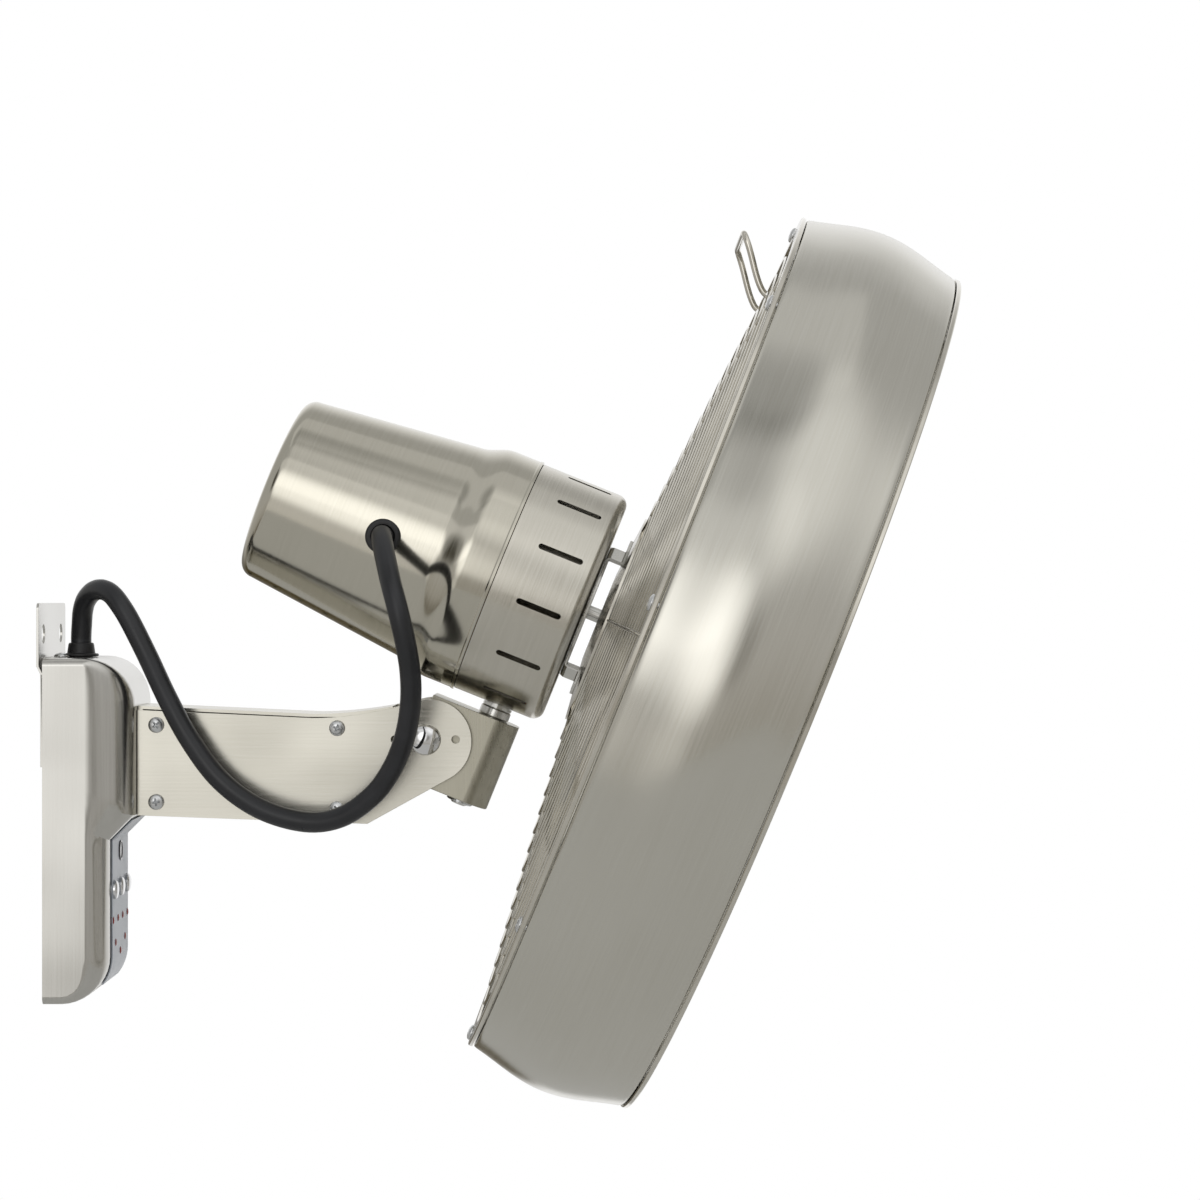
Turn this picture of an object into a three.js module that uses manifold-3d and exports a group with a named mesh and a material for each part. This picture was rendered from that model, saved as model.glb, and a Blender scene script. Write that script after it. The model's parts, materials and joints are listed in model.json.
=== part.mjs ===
// Wall mounted fan in brushed stainless steel, in millimetres.
// The origin is on the wall, midway between the two screw holes of the bracket. +X leaves the wall,
// +Z is up, and -Y is the side with the cord. The fan hangs on the bracket: a control box carries a
// short arm, the arm carries a tilting knuckle, and the motor with its drum turns on the knuckle's pin.

import * as THREE from "three";
import { mergeVertices } from "three/addons/utils/BufferGeometryUtils.js";
import Module from "manifold-3d";

const wasm = await Module();
wasm.setup();

// ---------------------------------------------------------------- driving dimensions

const gap = 0.3; // clearance between pieces that touch
const sheet = 1.5; // folded steel of the box, drum and housing
const heavySheet = 2.5; // bent steel of the knuckle

// Wall bracket
const tabWidth = 102;
const tabTop = 19.5;
const tabBend = -20; // height at which the tab steps off the wall
const bracketStep = 2.5; // how far the lower strip stands off the wall
const bracketBottom = -83;
const wallHoleSpacing = 66;
const wallHoleRadius = 6;

// Control box
const boxWidth = 110;
const boxTop = -15;
const boxBottom = -231;
const boxFront = 59.5; // upper face, where the arm starts
const boxLowerFront = 44; // face that carries the panel
const boxTopRadius = 30;
const boxBottomRadius = 28;
const boxCornerRadius = 22; // upright corners beside the front
const chamferTop = -114; // where the front starts to slope back
const panelThickness = 0.8;
const panelHalfWidth = 33;
const panelEnd = -221;
const panelMargin = 2; // from the top of the chamfer to the panel's edge
const coverThickness = 1.5;
const coverFlange = 9;
const frameFoot = 12; // feet of the hat section behind the arm
const frameMargin = 3.5; // from the hat section to the slopes over and under it

// Controls on the panel
const buttonRadius = 5.75;
const buttonSpacing = 26.5;
const buttonHeight = -161.6;
const buttonRise = 3;
const buttonTravel = 1.2;
const buttonFlange = 1.4; // how far the collar behind the panel overhangs the hole
const lampRadius = 2;
const lampRise = 0.8;
const lampPitch = 20;
const lampRowHeight = -180.8;
const trioHeights = [-195.5, -202.5, -195.5];
const windowRadius = 6.3;
const windowHeight = -138.6;
const guideThickness = 2; // strip that joins the lamps behind the panel
const boardDepth = 17; // from the box's lower face to the board
const boardThickness = 1.6;
const boardHalfWidth = 43;
const boardTop = -133;
const boardBottom = -214;
const postRadius = 3;
const postInset = 5; // posts from the board's corners
const keySwitchRadius = 3;
const buttonStem = 4; // behind the box's lower wall
const terminalDepth = 12;
const terminalHalfWidth = 25;
const terminalHeight = 14;
const terminalDrop = 6; // over the board's lower edge

// Gland on the box
const glandX = 20;
const glandFlangeRadius = 11.2;
const glandFlange = 2;
const glandCollarRadius = 8.5;
const glandCollar = 5;
const glandNeckRadius = 7.6;

// Arm
const armHalfWidth = 28;
const armPlate = 3;
const armWeb = 2; // thickness of the channel's top and bottom
const armLip = 2.5; // how far the channel's top stands above the near plate
const armTopAtBox = -48;
const armTopAtWaist = -53;
const armWaist = 168; // the arm's lowest top edge lies this far from the wall
const armBottomAtBox = -114.6;
const armBottomAtHeel = -120;
const armHeelX = 205; // where the bottom edge turns up to the ear
const armTopEnd = 221; // end of the top web
const armCableRadius = 10; // hole for the inner wires in the end on the box
const armScrewInset = 12; // screws from the box end of the arm
const armScrewFar = 186; // distance from the wall of the two screws near the ear
const armScrewDrop = 8.5; // screws below the top edge
const screwHeadRadius = 5;
const screwHead = 2.6;
const screwShankRadius = 2;
const screwShank = 9;
const recessWidth = 1;
const recessDepth = 1.2;

// Tilt pivot
const pivotX = 241.6;
const pivotZ = -66.7;
const earRadius = 26.6;
const earShiftX = 2.7; // the ear's round end is a little off the bolt
const earShiftZ = -1.2;
const earHoleRadius = 2.5;
const earHoleReach = 19.2; // small holes either side of the bolt
const boltRadius = 5;
const boltHeadRadius = 10;
const boltHead = 4.6;
const nutRadius = 9.8;
const nutThickness = 8;
const boltEnd = 2.5; // thread past the nut
const washerRadius = 13;
const washerThickness = 1.4;
const headTilt = 22; // nose-down angle of the head at rest, degrees

// Knuckle, measured from the bolt along and across the head's axis
const knuckleHalfHeight = 28;
const knuckleFront = 52;
const knuckleRear = -6;
const knuckleLobe = 15; // radius of its sides round the bolt
const knuckleFrontRadius = 16;

// Swivel pin
const swivelX = 34;
const pinRadius = 5.5;
const collarRadius = 10;
const collarHeight = 5.8;
const swivelNutRadius = 8.5;
const swivelNutThickness = 2.4;
const pinTip = 1.2;
const bushWall = 1.9;
const bushFlange = 1.7;
const swingMotorRadius = 14;
const swingMotorHeight = 18;

// Motor, measured along its axis from the point over the tilt bolt
const ringRadius = 76.8;
// From the tilt bolt to the underside of the ring: the knuckle, the collar and the bush.
const headClearance = knuckleHalfHeight + collarHeight + bushFlange + 3 * gap;
const axisHeight = ringRadius + headClearance; // motor axis over the tilt bolt
const housingRear = -151.6;
const housingRearRadius = 60;
const housingRearRound = 8.5;
const housingTaper = 0.1095; // growth of the cup's radius per length
const flareStart = -38;
const flareEnd = -16;
const flareStep = 0.7; // the cup's mouth stands this much proud of the ring
const flareRadius = ringRadius + flareStep;
const seam = 3.6; // where cup and ring meet
const ringFront = 62.9;
const ringRound = 7;
const slotCount = 13;
const slotLength = 29.5;
const slotWidth = 3.8;
const slotStart = 21.5; // rear end of the slots
const slotPhase = 14; // degrees from the top
const pinSlot = 6; // the place over the swivel pin, which has no slot
const guardRadius = 44; // drawn collar that keeps drips from the slots off the bearing
const guardBack = 20;
const drainCount = 5;
const drainPitch = 18;
const drainRadius = 1.5;
const drainStart = -143;
const drainAngle = 164; // degrees from the top, towards the side with the cord
const grommetX = -70;
const grommetDrop = 4; // below the motor axis
const grommetRadius = 11;
const grommetRise = 2;
const grommetNeckRadius = 8.8;

const motorSides = 28; // sides of the motor's round outlines, so that they nest
const shaftRadius = 6;
const shaftNose = 4.5;
const bearingRadius = 16;
const bearingWidth = 10;
const bearingWall = 3.2;
const bearingFront = 58; // front face of the front bearing
const shieldX = -85; // rear face of the end shield
const shieldThickness = 3;
const coreStart = -60;
const coreLength = 55;
const coreBore = 34.3;
const airGap = 0.6;
const windingThickness = 12;
const windingInner = 38;
const windingOuter = 60;
const capacitorRadius = 14;
const capacitorLength = 42;
const capacitorReach = 37; // from the motor axis

// Cage
const rimRadius = 283;
const rimRear = 97.1;
const rimFront = 203.8;
const bulgeDepth = 9.3; // how far the drum bells out half way
const bulgeFullness = 1.35; // a lower power of the sine makes the bell fuller
const bulgeSpans = 6;
const rimSides = 40; // sides of the drum's round outline
const rimFlange = 15; // inward flange that takes the grilles
const grilleThickness = 3;
const wireWidth = 2.8;
const wireRows = 7; // open rows between the solid middle and the rim
const wireSteps = 2; // straight stretches of a ring between two ribs
const ribCount = 6;
const ribWidth = 3;
const plateRadius = 69; // solid middle of each grille
const plateHole = 12;
const rearDish = 27; // depth that the rear grille's cone would have at its tip
const frontCapHole = 0;
const rimScrewCount = 8;
const rimScrewCircle = rimRadius - rimFlange / 2;
const rimScrewPhase = -4; // degrees from the top
const rimScrewShank = 9;
const handleWidth = 106;
const handleWire = 4;
const handleRing = 6; // ring of the rear grille that it is welded to
const handleReach = 31; // outward
const handleRise = 24; // to the rear
const handleFoot = 3; // straight stretch at each weld
const handleBend = 9;
const spiderLegs = 4;
const spiderWidth = 10;
const spiderInner = 24;
const spiderRing = 44;
const spiderLegRadius = 55;
const spiderFoot = 13;
const spiderSheet = 2;

// Blades
const bladeCount = 3;
const bladeClearance = 6; // from the blade tips to the drum's flanges
const bladeTip = rimRadius - rimFlange - bladeClearance;
const bladeRoot = 40;
const bladeCentre = 146;
const bladeThickness = 2;
const bladeRootChord = 96;
const bladeTipChord = 168;
const bladeRootPitch = 40; // degrees
const bladeTipPitch = 20;
const bladeSweep = 14; // degrees that the tip leads the root
const bladeCamber = 7;
const bladeDisc = 58;
const bladeDiscHalf = 4; // half of the disc's thickness
const hubRadius = 18;
const hubShoulder = 6; // how far the hub's shoulder stands out
const hubLength = 34;
const bladeNutRadius = 9;
const bladeNutThickness = 9;

// Cord, hand laid from the box gland down across the arm and up to the motor
const cordDiameter = 13;
const cordSides = 10;
const cordSteps = 19; // in each half
const cordEnd = 0.8; // clearance at the gland and the grommet
const cordRoute = [
  [20.7, -2, 6],
  [22.0, -6, 14.5],
  [25.0, -12, 21.5],
  [30.8, -20, 26.8],
  [37.6, -28, 28],
  [44.6, -34.5, 25],
  [51.3, -38.8, 17.3],
  [58.0, -41, 6.5],
  [69.0, -43, -15],
  [81.0, -45, -40],
  [95.5, -48, -66],
  [115.0, -52, -91],
  [140.5, -58, -108.5],
  [169.0, -63, -116.3],
  [191.6, -68, -113],
  [211.3, -74, -99.5],
  [224.0, -81, -82.5],
  [232.3, -90, -63],
  [236.5, -100, -42],
  [236.8, -109, -22],
  [234.1, -116, -3],
  [230.0, -117.5, 15],
  [225.4, -112, 31.5],
  [221.6, -101.5, 45.5],
  [218.9, -90, 55.5],
];

// ---------------------------------------------------------------- finishes

const finish = (colour, roughness, metalness) => () =>
  new THREE.MeshStandardMaterial({ color: colour, roughness, metalness, flatShading: true });
const brushedSteel = finish(0xaea99c, 0.38, 1);
const brightSteel = finish(0xd4d2cb, 0.3, 1);
const chrome = finish(0xe8e8ea, 0.08, 1);
const zinc = finish(0xc3c5c6, 0.35, 1);
const aluminium = finish(0xc9cbcc, 0.45, 1);
const blackRubber = finish(0x17181a, 0.7, 0);
const paleOverlay = finish(0xb4b9c1, 0.5, 0);
const redLamp = finish(0x9c2420, 0.3, 0);
const smokedPlastic = finish(0x2b2a2d, 0.25, 0);
const circuitGreen = finish(0x2c5a3a, 0.6, 0);
const blackPlastic = finish(0x202124, 0.5, 0);
const copperWire = finish(0x9a5a32, 0.5, 1);
const coreSteel = finish(0x6f7072, 0.6, 1);

// ---------------------------------------------------------------- solids

// A closed geometry as a solid that can be joined and cut.
function solidOf(geometry) {
  const bare = geometry.index ? geometry.toNonIndexed() : geometry.clone();
  bare.deleteAttribute("normal");
  bare.deleteAttribute("uv");
  const merged = mergeVertices(bare, 1e-4);
  const vertProperties = merged.attributes.position.array;
  const triVerts = new Uint32Array(merged.index.array);
  return new wasm.Manifold(new wasm.Mesh({ numProp: 3, vertProperties, triVerts }));
}

// A solid back as a geometry.
function geometryOf(solid) {
  const mesh = solid.getMesh();
  const geometry = new THREE.BufferGeometry();
  geometry.setAttribute("position", new THREE.BufferAttribute(mesh.vertProperties, 3));
  geometry.setIndex(new THREE.BufferAttribute(mesh.triVerts, 1));
  return geometry;
}

const joined = (...geometries) =>
  geometryOf(geometries.map(solidOf).reduce((whole, next) => whole.add(next)));

const cut = (geometry, ...tools) =>
  geometryOf(tools.map(solidOf).reduce((rest, tool) => rest.subtract(tool), solidOf(geometry)));

const common = (...geometries) =>
  geometryOf(geometries.map(solidOf).reduce((whole, next) => whole.intersect(next)));

// A box between two corners.
function block(low, high) {
  const size = high.map((value, axis) => value - low[axis]);
  const middle = high.map((value, axis) => (value + low[axis]) / 2);
  return new THREE.BoxGeometry(...size).translate(...middle);
}

// Turn a geometry made along +Z so that it lies along +X or +Y.
const alongX = (geometry) => geometry.rotateY(Math.PI / 2);
const alongY = (geometry) => geometry.rotateX(-Math.PI / 2);

// A turned piece: an outline of [radius, place] points spun about Z. An outline that touches the
// axis starts and ends there, and any other closes on itself.
function turned(outline, segments = 32) {
  const points = outline.map(([radius, place]) => new THREE.Vector2(radius, place));
  if (THREE.ShapeUtils.area(points) < 0) points.reverse();
  const onAxis = points[0].x === 0 && points[points.length - 1].x === 0;
  if (!onAxis) points.push(points[0].clone());
  return new THREE.LatheGeometry(points, segments).rotateX(Math.PI / 2);
}

const disc = (radius, from, to, segments = 32) =>
  turned([[0, from], [radius, from], [radius, to], [0, to]], segments);

const ring = (inner, outer, from, to, segments = 32) =>
  turned([[inner, from], [outer, from], [outer, to], [inner, to]], segments);

// An outline in X and Y raised along Z.
const raised = (shape, from, to, curveSegments = 8) =>
  new THREE.ExtrudeGeometry(shape, { depth: to - from, bevelEnabled: false, curveSegments })
    .translate(0, 0, from);

// An outline in X and Z, raised along Y.
const sideways = (shape, from, to, curveSegments = 8) =>
  raised(shape, -to, -from, curveSegments).rotateX(Math.PI / 2);

const polygon = (points) => new THREE.Shape(points.map(([x, y]) => new THREE.Vector2(x, y)));

// A straight slot with round ends, lying along X, centred.
function slotShape(length, width) {
  const reach = (length - width) / 2;
  const shape = new THREE.Shape();
  shape.absarc(reach, 0, width / 2, -Math.PI / 2, Math.PI / 2);
  shape.absarc(-reach, 0, width / 2, Math.PI / 2, Math.PI * 1.5);
  return shape;
}

const radians = THREE.MathUtils.degToRad;

function part(name, geometry, material) {
  const mesh = new THREE.Mesh(geometry, material());
  mesh.name = name;
  return mesh;
}

// A pan screw that points along +Z with its head under the plane z = 0. The larger ones have a cross
// recess.
function panScrew(shank, recessed = true) {
  const screw = turned([
    [0, -screwHead],
    [screwHeadRadius * 0.6, -screwHead],
    [screwHeadRadius, -screwHead * 0.45],
    [screwHeadRadius, 0],
    [screwShankRadius, 0],
    [screwShankRadius, shank],
    [0, shank],
  ], recessed ? 12 : 8);
  if (!recessed) return screw;
  const reach = screwHeadRadius * 0.5;
  const floor = -screwHead + recessDepth;
  const arm = recessWidth / 2;
  return cut(screw,
    block([-reach, -arm, -screwHead - 1], [reach, arm, floor]),
    block([-arm, -reach, -screwHead - 1], [arm, reach, floor]));
}

// ---------------------------------------------------------------- wall unit

const wallUnit = new THREE.Group();
const coverBack = bracketStep + sheet + gap;
const coverFront = coverBack + coverThickness;
const bracketRun = bracketStep * 2; // height taken by the step in the bracket

function wallBracket() {
  const profile = polygon([
    [0, tabTop],
    [sheet, tabTop],
    [sheet, tabBend],
    [bracketStep + sheet, tabBend - bracketRun],
    [bracketStep + sheet, bracketBottom],
    [bracketStep, bracketBottom],
    [bracketStep, tabBend - bracketRun],
    [0, tabBend],
  ]);
  const holes = [-1, 1].map((side) =>
    alongX(disc(wallHoleRadius, -1, sheet + 1, 24)).translate(0, side * wallHoleSpacing / 2, 0));
  return cut(sideways(profile, -tabWidth / 2, tabWidth / 2), ...holes);
}

// The box's side outline, drawn in by inset all along. It starts behind the box, where it is open.
function boxProfile(inset, back) {
  const front = boxFront - inset;
  const lower = boxLowerFront - inset;
  const top = boxTop - inset;
  const bottom = boxBottom + inset;
  const slope = chamferTop + inset * Math.tan(Math.PI / 8);
  const topRadius = boxTopRadius - inset;
  const bottomRadius = boxBottomRadius - inset;
  const shape = new THREE.Shape();
  shape.moveTo(back, top);
  shape.lineTo(front - topRadius, top);
  shape.absarc(front - topRadius, top - topRadius, topRadius, Math.PI / 2, 0, true);
  shape.lineTo(front, slope);
  shape.lineTo(lower, slope - (boxFront - boxLowerFront));
  shape.lineTo(lower, bottom + bottomRadius);
  shape.absarc(lower - bottomRadius, bottom + bottomRadius, bottomRadius, 0, -Math.PI / 2, true);
  shape.lineTo(back, bottom);
  return shape;
}

// The box's plan between two heights: flat sides and rounded upright corners beside the front.
function boxPlan(front, inset, back, low, high) {
  const half = boxWidth / 2 - inset;
  const radius = boxCornerRadius - inset;
  const shape = new THREE.Shape();
  shape.moveTo(back, -half);
  shape.lineTo(front - inset - radius, -half);
  shape.absarc(front - inset - radius, -half + radius, radius, -Math.PI / 2, 0);
  shape.absarc(front - inset - radius, half - radius, radius, 0, Math.PI / 2);
  shape.lineTo(back, half);
  return raised(shape, low, high, 4);
}

function boxForm(inset, back) {
  const half = boxWidth / 2 - inset;
  const whole = sideways(boxProfile(inset, back), -half, half, 4);
  const chamferBottom = chamferTop - (boxFront - boxLowerFront);
  const upper = common(whole, boxPlan(boxFront, inset, back, chamferBottom, boxTop));
  const lower = common(whole, boxPlan(boxLowerFront, inset, back, boxBottom, boxTop));
  return joined(upper, lower);
}

const panelFace = boxLowerFront + gap + panelThickness;
const boxInnerFront = boxLowerFront - sheet;
const boardFront = boxLowerFront - boardDepth;
const lampRow = [-1.5, -0.5, 0.5, 1.5].map((step) => [step * lampPitch, lampRowHeight]);
const lampTrio = [-1, 0, 1].map((step, index) => [step * lampPitch, trioHeights[index]]);
const buttonPlaces = [-1, 0, 1].map((step) => [step * buttonSpacing, buttonHeight]);
const boardPosts = [-1, 1].flatMap((side) =>
  [boardTop - postInset, boardBottom + postInset].map((height) =>
    [side * (boardHalfWidth - postInset), height]));

// A round bore or post along X at [y, z].
const roundX = (radius, from, to, [y, z], segments = 16) =>
  alongX(disc(radius, from, to, segments)).translate(0, y, z);

// The holes that buttons, lamps and window need, through the panel or the box.
function controlHoles() {
  const through = [boxInnerFront - 1, panelFace + 1];
  return [
    ...buttonPlaces.map((place) => roundX(buttonRadius + gap, ...through, place, 14)),
    ...[...lampRow, ...lampTrio].map((place) => roundX(lampRadius + gap, ...through, place, 8)),
    roundX(windowRadius + gap, ...through, [0, windowHeight]),
  ];
}

function controlBox() {
  const shell = cut(boxForm(0, coverBack), boxForm(sheet, coverBack - 5));
  const posts = boardPosts.map((place) =>
    roundX(postRadius, boardFront + gap, boxLowerFront - sheet / 2, place, 8));
  const glandHole = disc(glandNeckRadius + gap, boxTop - 5, boxTop + 1, 20).translate(glandX, 0, 0);
  const screwHole = disc(screwShankRadius + gap, boxBottom - 1, boxBottom + sheet + 1, 12)
    .translate(coverFront + coverFlange / 2, 0, 0);
  return cut(joined(shell, ...posts), ...controlHoles(), glandHole, screwHole);
}

function backCover() {
  const half = boxWidth / 2 - sheet - gap;
  const low = boxBottom + sheet + gap;
  const high = boxTop - sheet - gap;
  const lid = block([coverBack, -half, low], [coverFront, half, high]);
  const flangeHalf = panelHalfWidth;
  const flange = block([coverBack, -flangeHalf, low],
    [coverFront + coverFlange, flangeHalf, low + coverThickness]);
  const hole = disc(screwShankRadius + gap, low - 1, low + coverThickness + 1, 12)
    .translate(coverFront + coverFlange / 2, 0, 0);
  return cut(joined(lid, flange), hole);
}

// Hat section between the back cover and the upper front, behind the arm.
function innerFrame() {
  const back = coverFront + gap;
  const front = boxFront - sheet - gap;
  const half = boxWidth / 2 - boxCornerRadius - gap;
  const shape = polygon([
    [back, -half - frameFoot],
    [back + armWeb, -half - frameFoot],
    [back + armWeb, -half],
    [front, -half],
    [front, half],
    [back + armWeb, half],
    [back + armWeb, half + frameFoot],
    [back, half + frameFoot],
    [back, half - armWeb],
    [front - armWeb, half - armWeb],
    [front - armWeb, -half + armWeb],
    [back, -half + armWeb],
  ]);
  return raised(shape, chamferTop + frameMargin, boxTop - boxTopRadius - frameMargin);
}

function controlPanel() {
  const outer = sideways(boxProfile(-gap - panelThickness, 0), -panelHalfWidth, panelHalfWidth, 4);
  const inner = sideways(boxProfile(-gap, -1), -panelHalfWidth - 1, panelHalfWidth + 1, 4);
  const window = block([boxLowerFront - boxBottomRadius, -boxWidth, panelEnd],
    [boxFront + boxBottomRadius, boxWidth, chamferTop - panelMargin]);
  return cut(common(cut(outer, inner), window), ...controlHoles());
}

function controlBoard() {
  const board = block([boardFront - boardThickness, -boardHalfWidth, boardBottom],
    [boardFront, boardHalfWidth, boardTop]);
  const tip = boxInnerFront - buttonStem - gap - buttonTravel - gap;
  const switches = buttonPlaces.map((place) =>
    roundX(keySwitchRadius, boardFront - boardThickness / 2, tip, place, 10));
  return joined(board, ...switches);
}

// Block with the mains terminals, behind the board.
function terminalBlock() {
  const front = boardFront - boardThickness - gap;
  const low = boardBottom + terminalDrop;
  return block([front - terminalDepth, -terminalHalfWidth, low],
    [front, terminalHalfWidth, low + terminalHeight]);
}

// A push button along +X, its collar just behind the box's wall.
function pushButton() {
  const collar = boxInnerFront - gap;
  const stem = boxInnerFront - buttonStem;
  const crown = panelFace + buttonRise;
  return alongX(turned([
    [0, stem],
    [keySwitchRadius, stem],
    [keySwitchRadius, collar - 1.2],
    [buttonRadius + buttonFlange, collar - 1.2],
    [buttonRadius + buttonFlange, collar],
    [buttonRadius, collar],
    [buttonRadius, crown - buttonRise * 0.55],
    [buttonRadius * 0.8, crown - buttonRise * 0.2],
    [buttonRadius * 0.42, crown - buttonRise * 0.03],
    [0, crown],
  ], 14));
}

// A light guide: domed lamps on a strip behind the box's lower wall.
function lightGuide(places) {
  const back = boxInnerFront - gap - guideThickness;
  const front = boxInnerFront - gap;
  const lamps = places.map((place) => roundX(lampRadius, back, panelFace + lampRise, place, 8));
  const ys = places.map(([y]) => y);
  const zs = places.map(([, z]) => z);
  const margin = lampRadius + 1;
  const strip = block([back, Math.min(...ys) - margin, Math.min(...zs) - margin],
    [front, Math.max(...ys) + margin, Math.max(...zs) + margin]);
  return joined(strip, ...lamps);
}

function receiverWindow() {
  const place = [0, windowHeight];
  const back = boxInnerFront - gap - guideThickness;
  return joined(
    roundX(windowRadius + buttonFlange, back, boxInnerFront - gap, place, 20),
    roundX(windowRadius, back + 1, panelFace + lampRise, place, 20));
}

function boxGland() {
  const seat = boxTop + gap;
  return turned([
    [cordDiameter * 0.35, boxTop - sheet - 3],
    [glandNeckRadius, boxTop - sheet - 3],
    [glandNeckRadius, seat],
    [glandFlangeRadius, seat],
    [glandFlangeRadius, seat + glandFlange],
    [glandCollarRadius, seat + glandFlange],
    [glandCollarRadius, seat + glandFlange + glandCollar],
    [cordDiameter * 0.35, seat + glandFlange + glandCollar],
  ], 16).translate(glandX, 0, 0);
}

const armStart = boxFront + gap;

// The arm's side outline. The channel stands proud of the near plate along the top by lift, and
// its ear is the same.
function armOutline(lift) {
  const earX = pivotX + earShiftX;
  const earZ = pivotZ + earShiftZ;
  const shape = new THREE.Shape();
  shape.moveTo(armStart, armBottomAtBox);
  shape.lineTo(armHeelX, armBottomAtHeel);
  shape.absarc(earX, earZ, earRadius, radians(-62), radians(112));
  shape.quadraticCurveTo((armWaist + armTopEnd) / 2, armTopAtWaist + lift - 1, armWaist,
    armTopAtWaist + lift);
  shape.lineTo(armStart, armTopAtBox + lift);
  return shape;
}

const armScrewPlaces = [
  [armStart + armScrewInset, armTopAtBox - armScrewDrop - 1],
  [armStart + armScrewInset, armBottomAtBox + armScrewDrop],
  [armScrewFar, armTopAtWaist - armScrewDrop + 2],
  [armScrewFar, armBottomAtHeel + armScrewDrop + 1],
];

// A round cut or post along Y at [x, z].
const roundY = (radius, from, to, [x, z], segments = 16) =>
  alongY(disc(radius, from, to, segments)).translate(x, 0, z);

// The bolt's hole and the two small holes of an ear.
function earHoles(from, to) {
  const reach = [-1, 1].map((side) => [pivotX + side * earHoleReach, pivotZ]);
  return [
    roundY(boltRadius + gap, from, to, [pivotX, pivotZ], 20),
    ...reach.map((place) => roundY(earHoleRadius, from, to, place, 10)),
  ];
}

function armCover() {
  const plate = sideways(armOutline(0), -armHalfWidth, -armHalfWidth + armPlate, 10);
  const screwHoles = armScrewPlaces.map((place) =>
    roundY(screwShankRadius + gap, -armHalfWidth - 1, -armHalfWidth + armPlate + 1, place, 10));
  return cut(plate, ...earHoles(-armHalfWidth - 1, -armHalfWidth + armPlate + 1), ...screwHoles);
}

// The folded channel: far plate and ear, top and bottom webs, an end plate on the box and four
// blocks that take the near plate's screws.
function armChannel() {
  const near = -armHalfWidth + armPlate + gap;
  const far = armHalfWidth;
  const envelope = sideways(armOutline(armLip), near, far, 10);
  const end = armStart + armPlate;
  const hollow = new THREE.Shape();
  hollow.moveTo(end, armBottomAtBox + armWeb);
  hollow.lineTo(armHeelX, armBottomAtHeel + armWeb);
  hollow.lineTo(armHeelX + earRadius, armBottomAtHeel + armWeb);
  hollow.lineTo(armTopEnd + earRadius, armTopAtWaist + armLip - armWeb);
  hollow.quadraticCurveTo((armWaist + armTopEnd) / 2, armTopAtWaist + armLip - armWeb - 1,
    armWaist, armTopAtWaist + armLip - armWeb);
  hollow.lineTo(end, armTopAtBox + armLip - armWeb);
  const beyond = pivotX; // far past the ear
  const inside = sideways(hollow, near - 1, far - armPlate, 10);
  const earRoom = block([armTopEnd, near - 1, pivotZ - beyond], [pivotX + beyond, far - armPlate,
    pivotZ + beyond]);
  const heelRoom = block([armHeelX - 1, near - 1, pivotZ - beyond], [pivotX + beyond,
    far - armPlate, pivotZ]);
  const middle = (armTopAtBox + armBottomAtBox) / 2;
  const cable = roundX(armCableRadius, armStart - 1, end + 1, [0, middle], 16);
  const shell = cut(envelope, inside, earRoom, heelRoom, cable,
    ...earHoles(far - armPlate - 1, far + 1));
  const blocks = armScrewPlaces.map(([x, z]) => {
    const low = z < middle ? armBottomAtHeel - 1 : z - screwHeadRadius;
    const high = z < middle ? z + screwHeadRadius : armTopAtBox + armLip + 1;
    const corners = [[x - screwHeadRadius, near, low], [x + screwHeadRadius, near + screwShank, high]];
    return common(block(...corners), envelope);
  });
  const bores = armScrewPlaces.map((place) =>
    roundY(screwShankRadius + gap, near - 1, near + screwShank + 1, place, 10));
  return cut(joined(shell, ...blocks), ...bores);
}

// A pan screw driven in along +Y, with its head on the plane y = seat.
const screwAlongY = (seat, [x, z]) => alongY(panScrew(screwShank)).translate(x, seat, z);

function tiltBolt() {
  const seat = -armHalfWidth - gap;
  const end = armHalfWidth + gap + nutThickness + boltEnd;
  return alongY(turned([
    [0, seat - boltHead],
    [boltHeadRadius * 0.45, seat - boltHead * 0.92],
    [boltHeadRadius * 0.8, seat - boltHead * 0.55],
    [boltHeadRadius, seat - boltHead * 0.1],
    [boltHeadRadius, seat],
    [boltRadius, seat],
    [boltRadius, end],
    [0, end],
  ], 16)).translate(pivotX, 0, pivotZ);
}

function tiltNut() {
  const from = armHalfWidth + gap;
  return cut(
    roundY(nutRadius, from, from + nutThickness, [pivotX, pivotZ], 6),
    roundY(boltRadius + gap, from - 1, from + nutThickness + 1, [pivotX, pivotZ], 20));
}

// A friction washer between an ear and the knuckle. side is -1 for the near ear.
function frictionWasher(side) {
  const middle = side * (armHalfWidth - armPlate - gap - washerThickness / 2);
  return alongY(ring(boltRadius + gap, washerRadius, middle - washerThickness / 2,
    middle + washerThickness / 2, 20)).translate(pivotX, 0, pivotZ);
}

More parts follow.
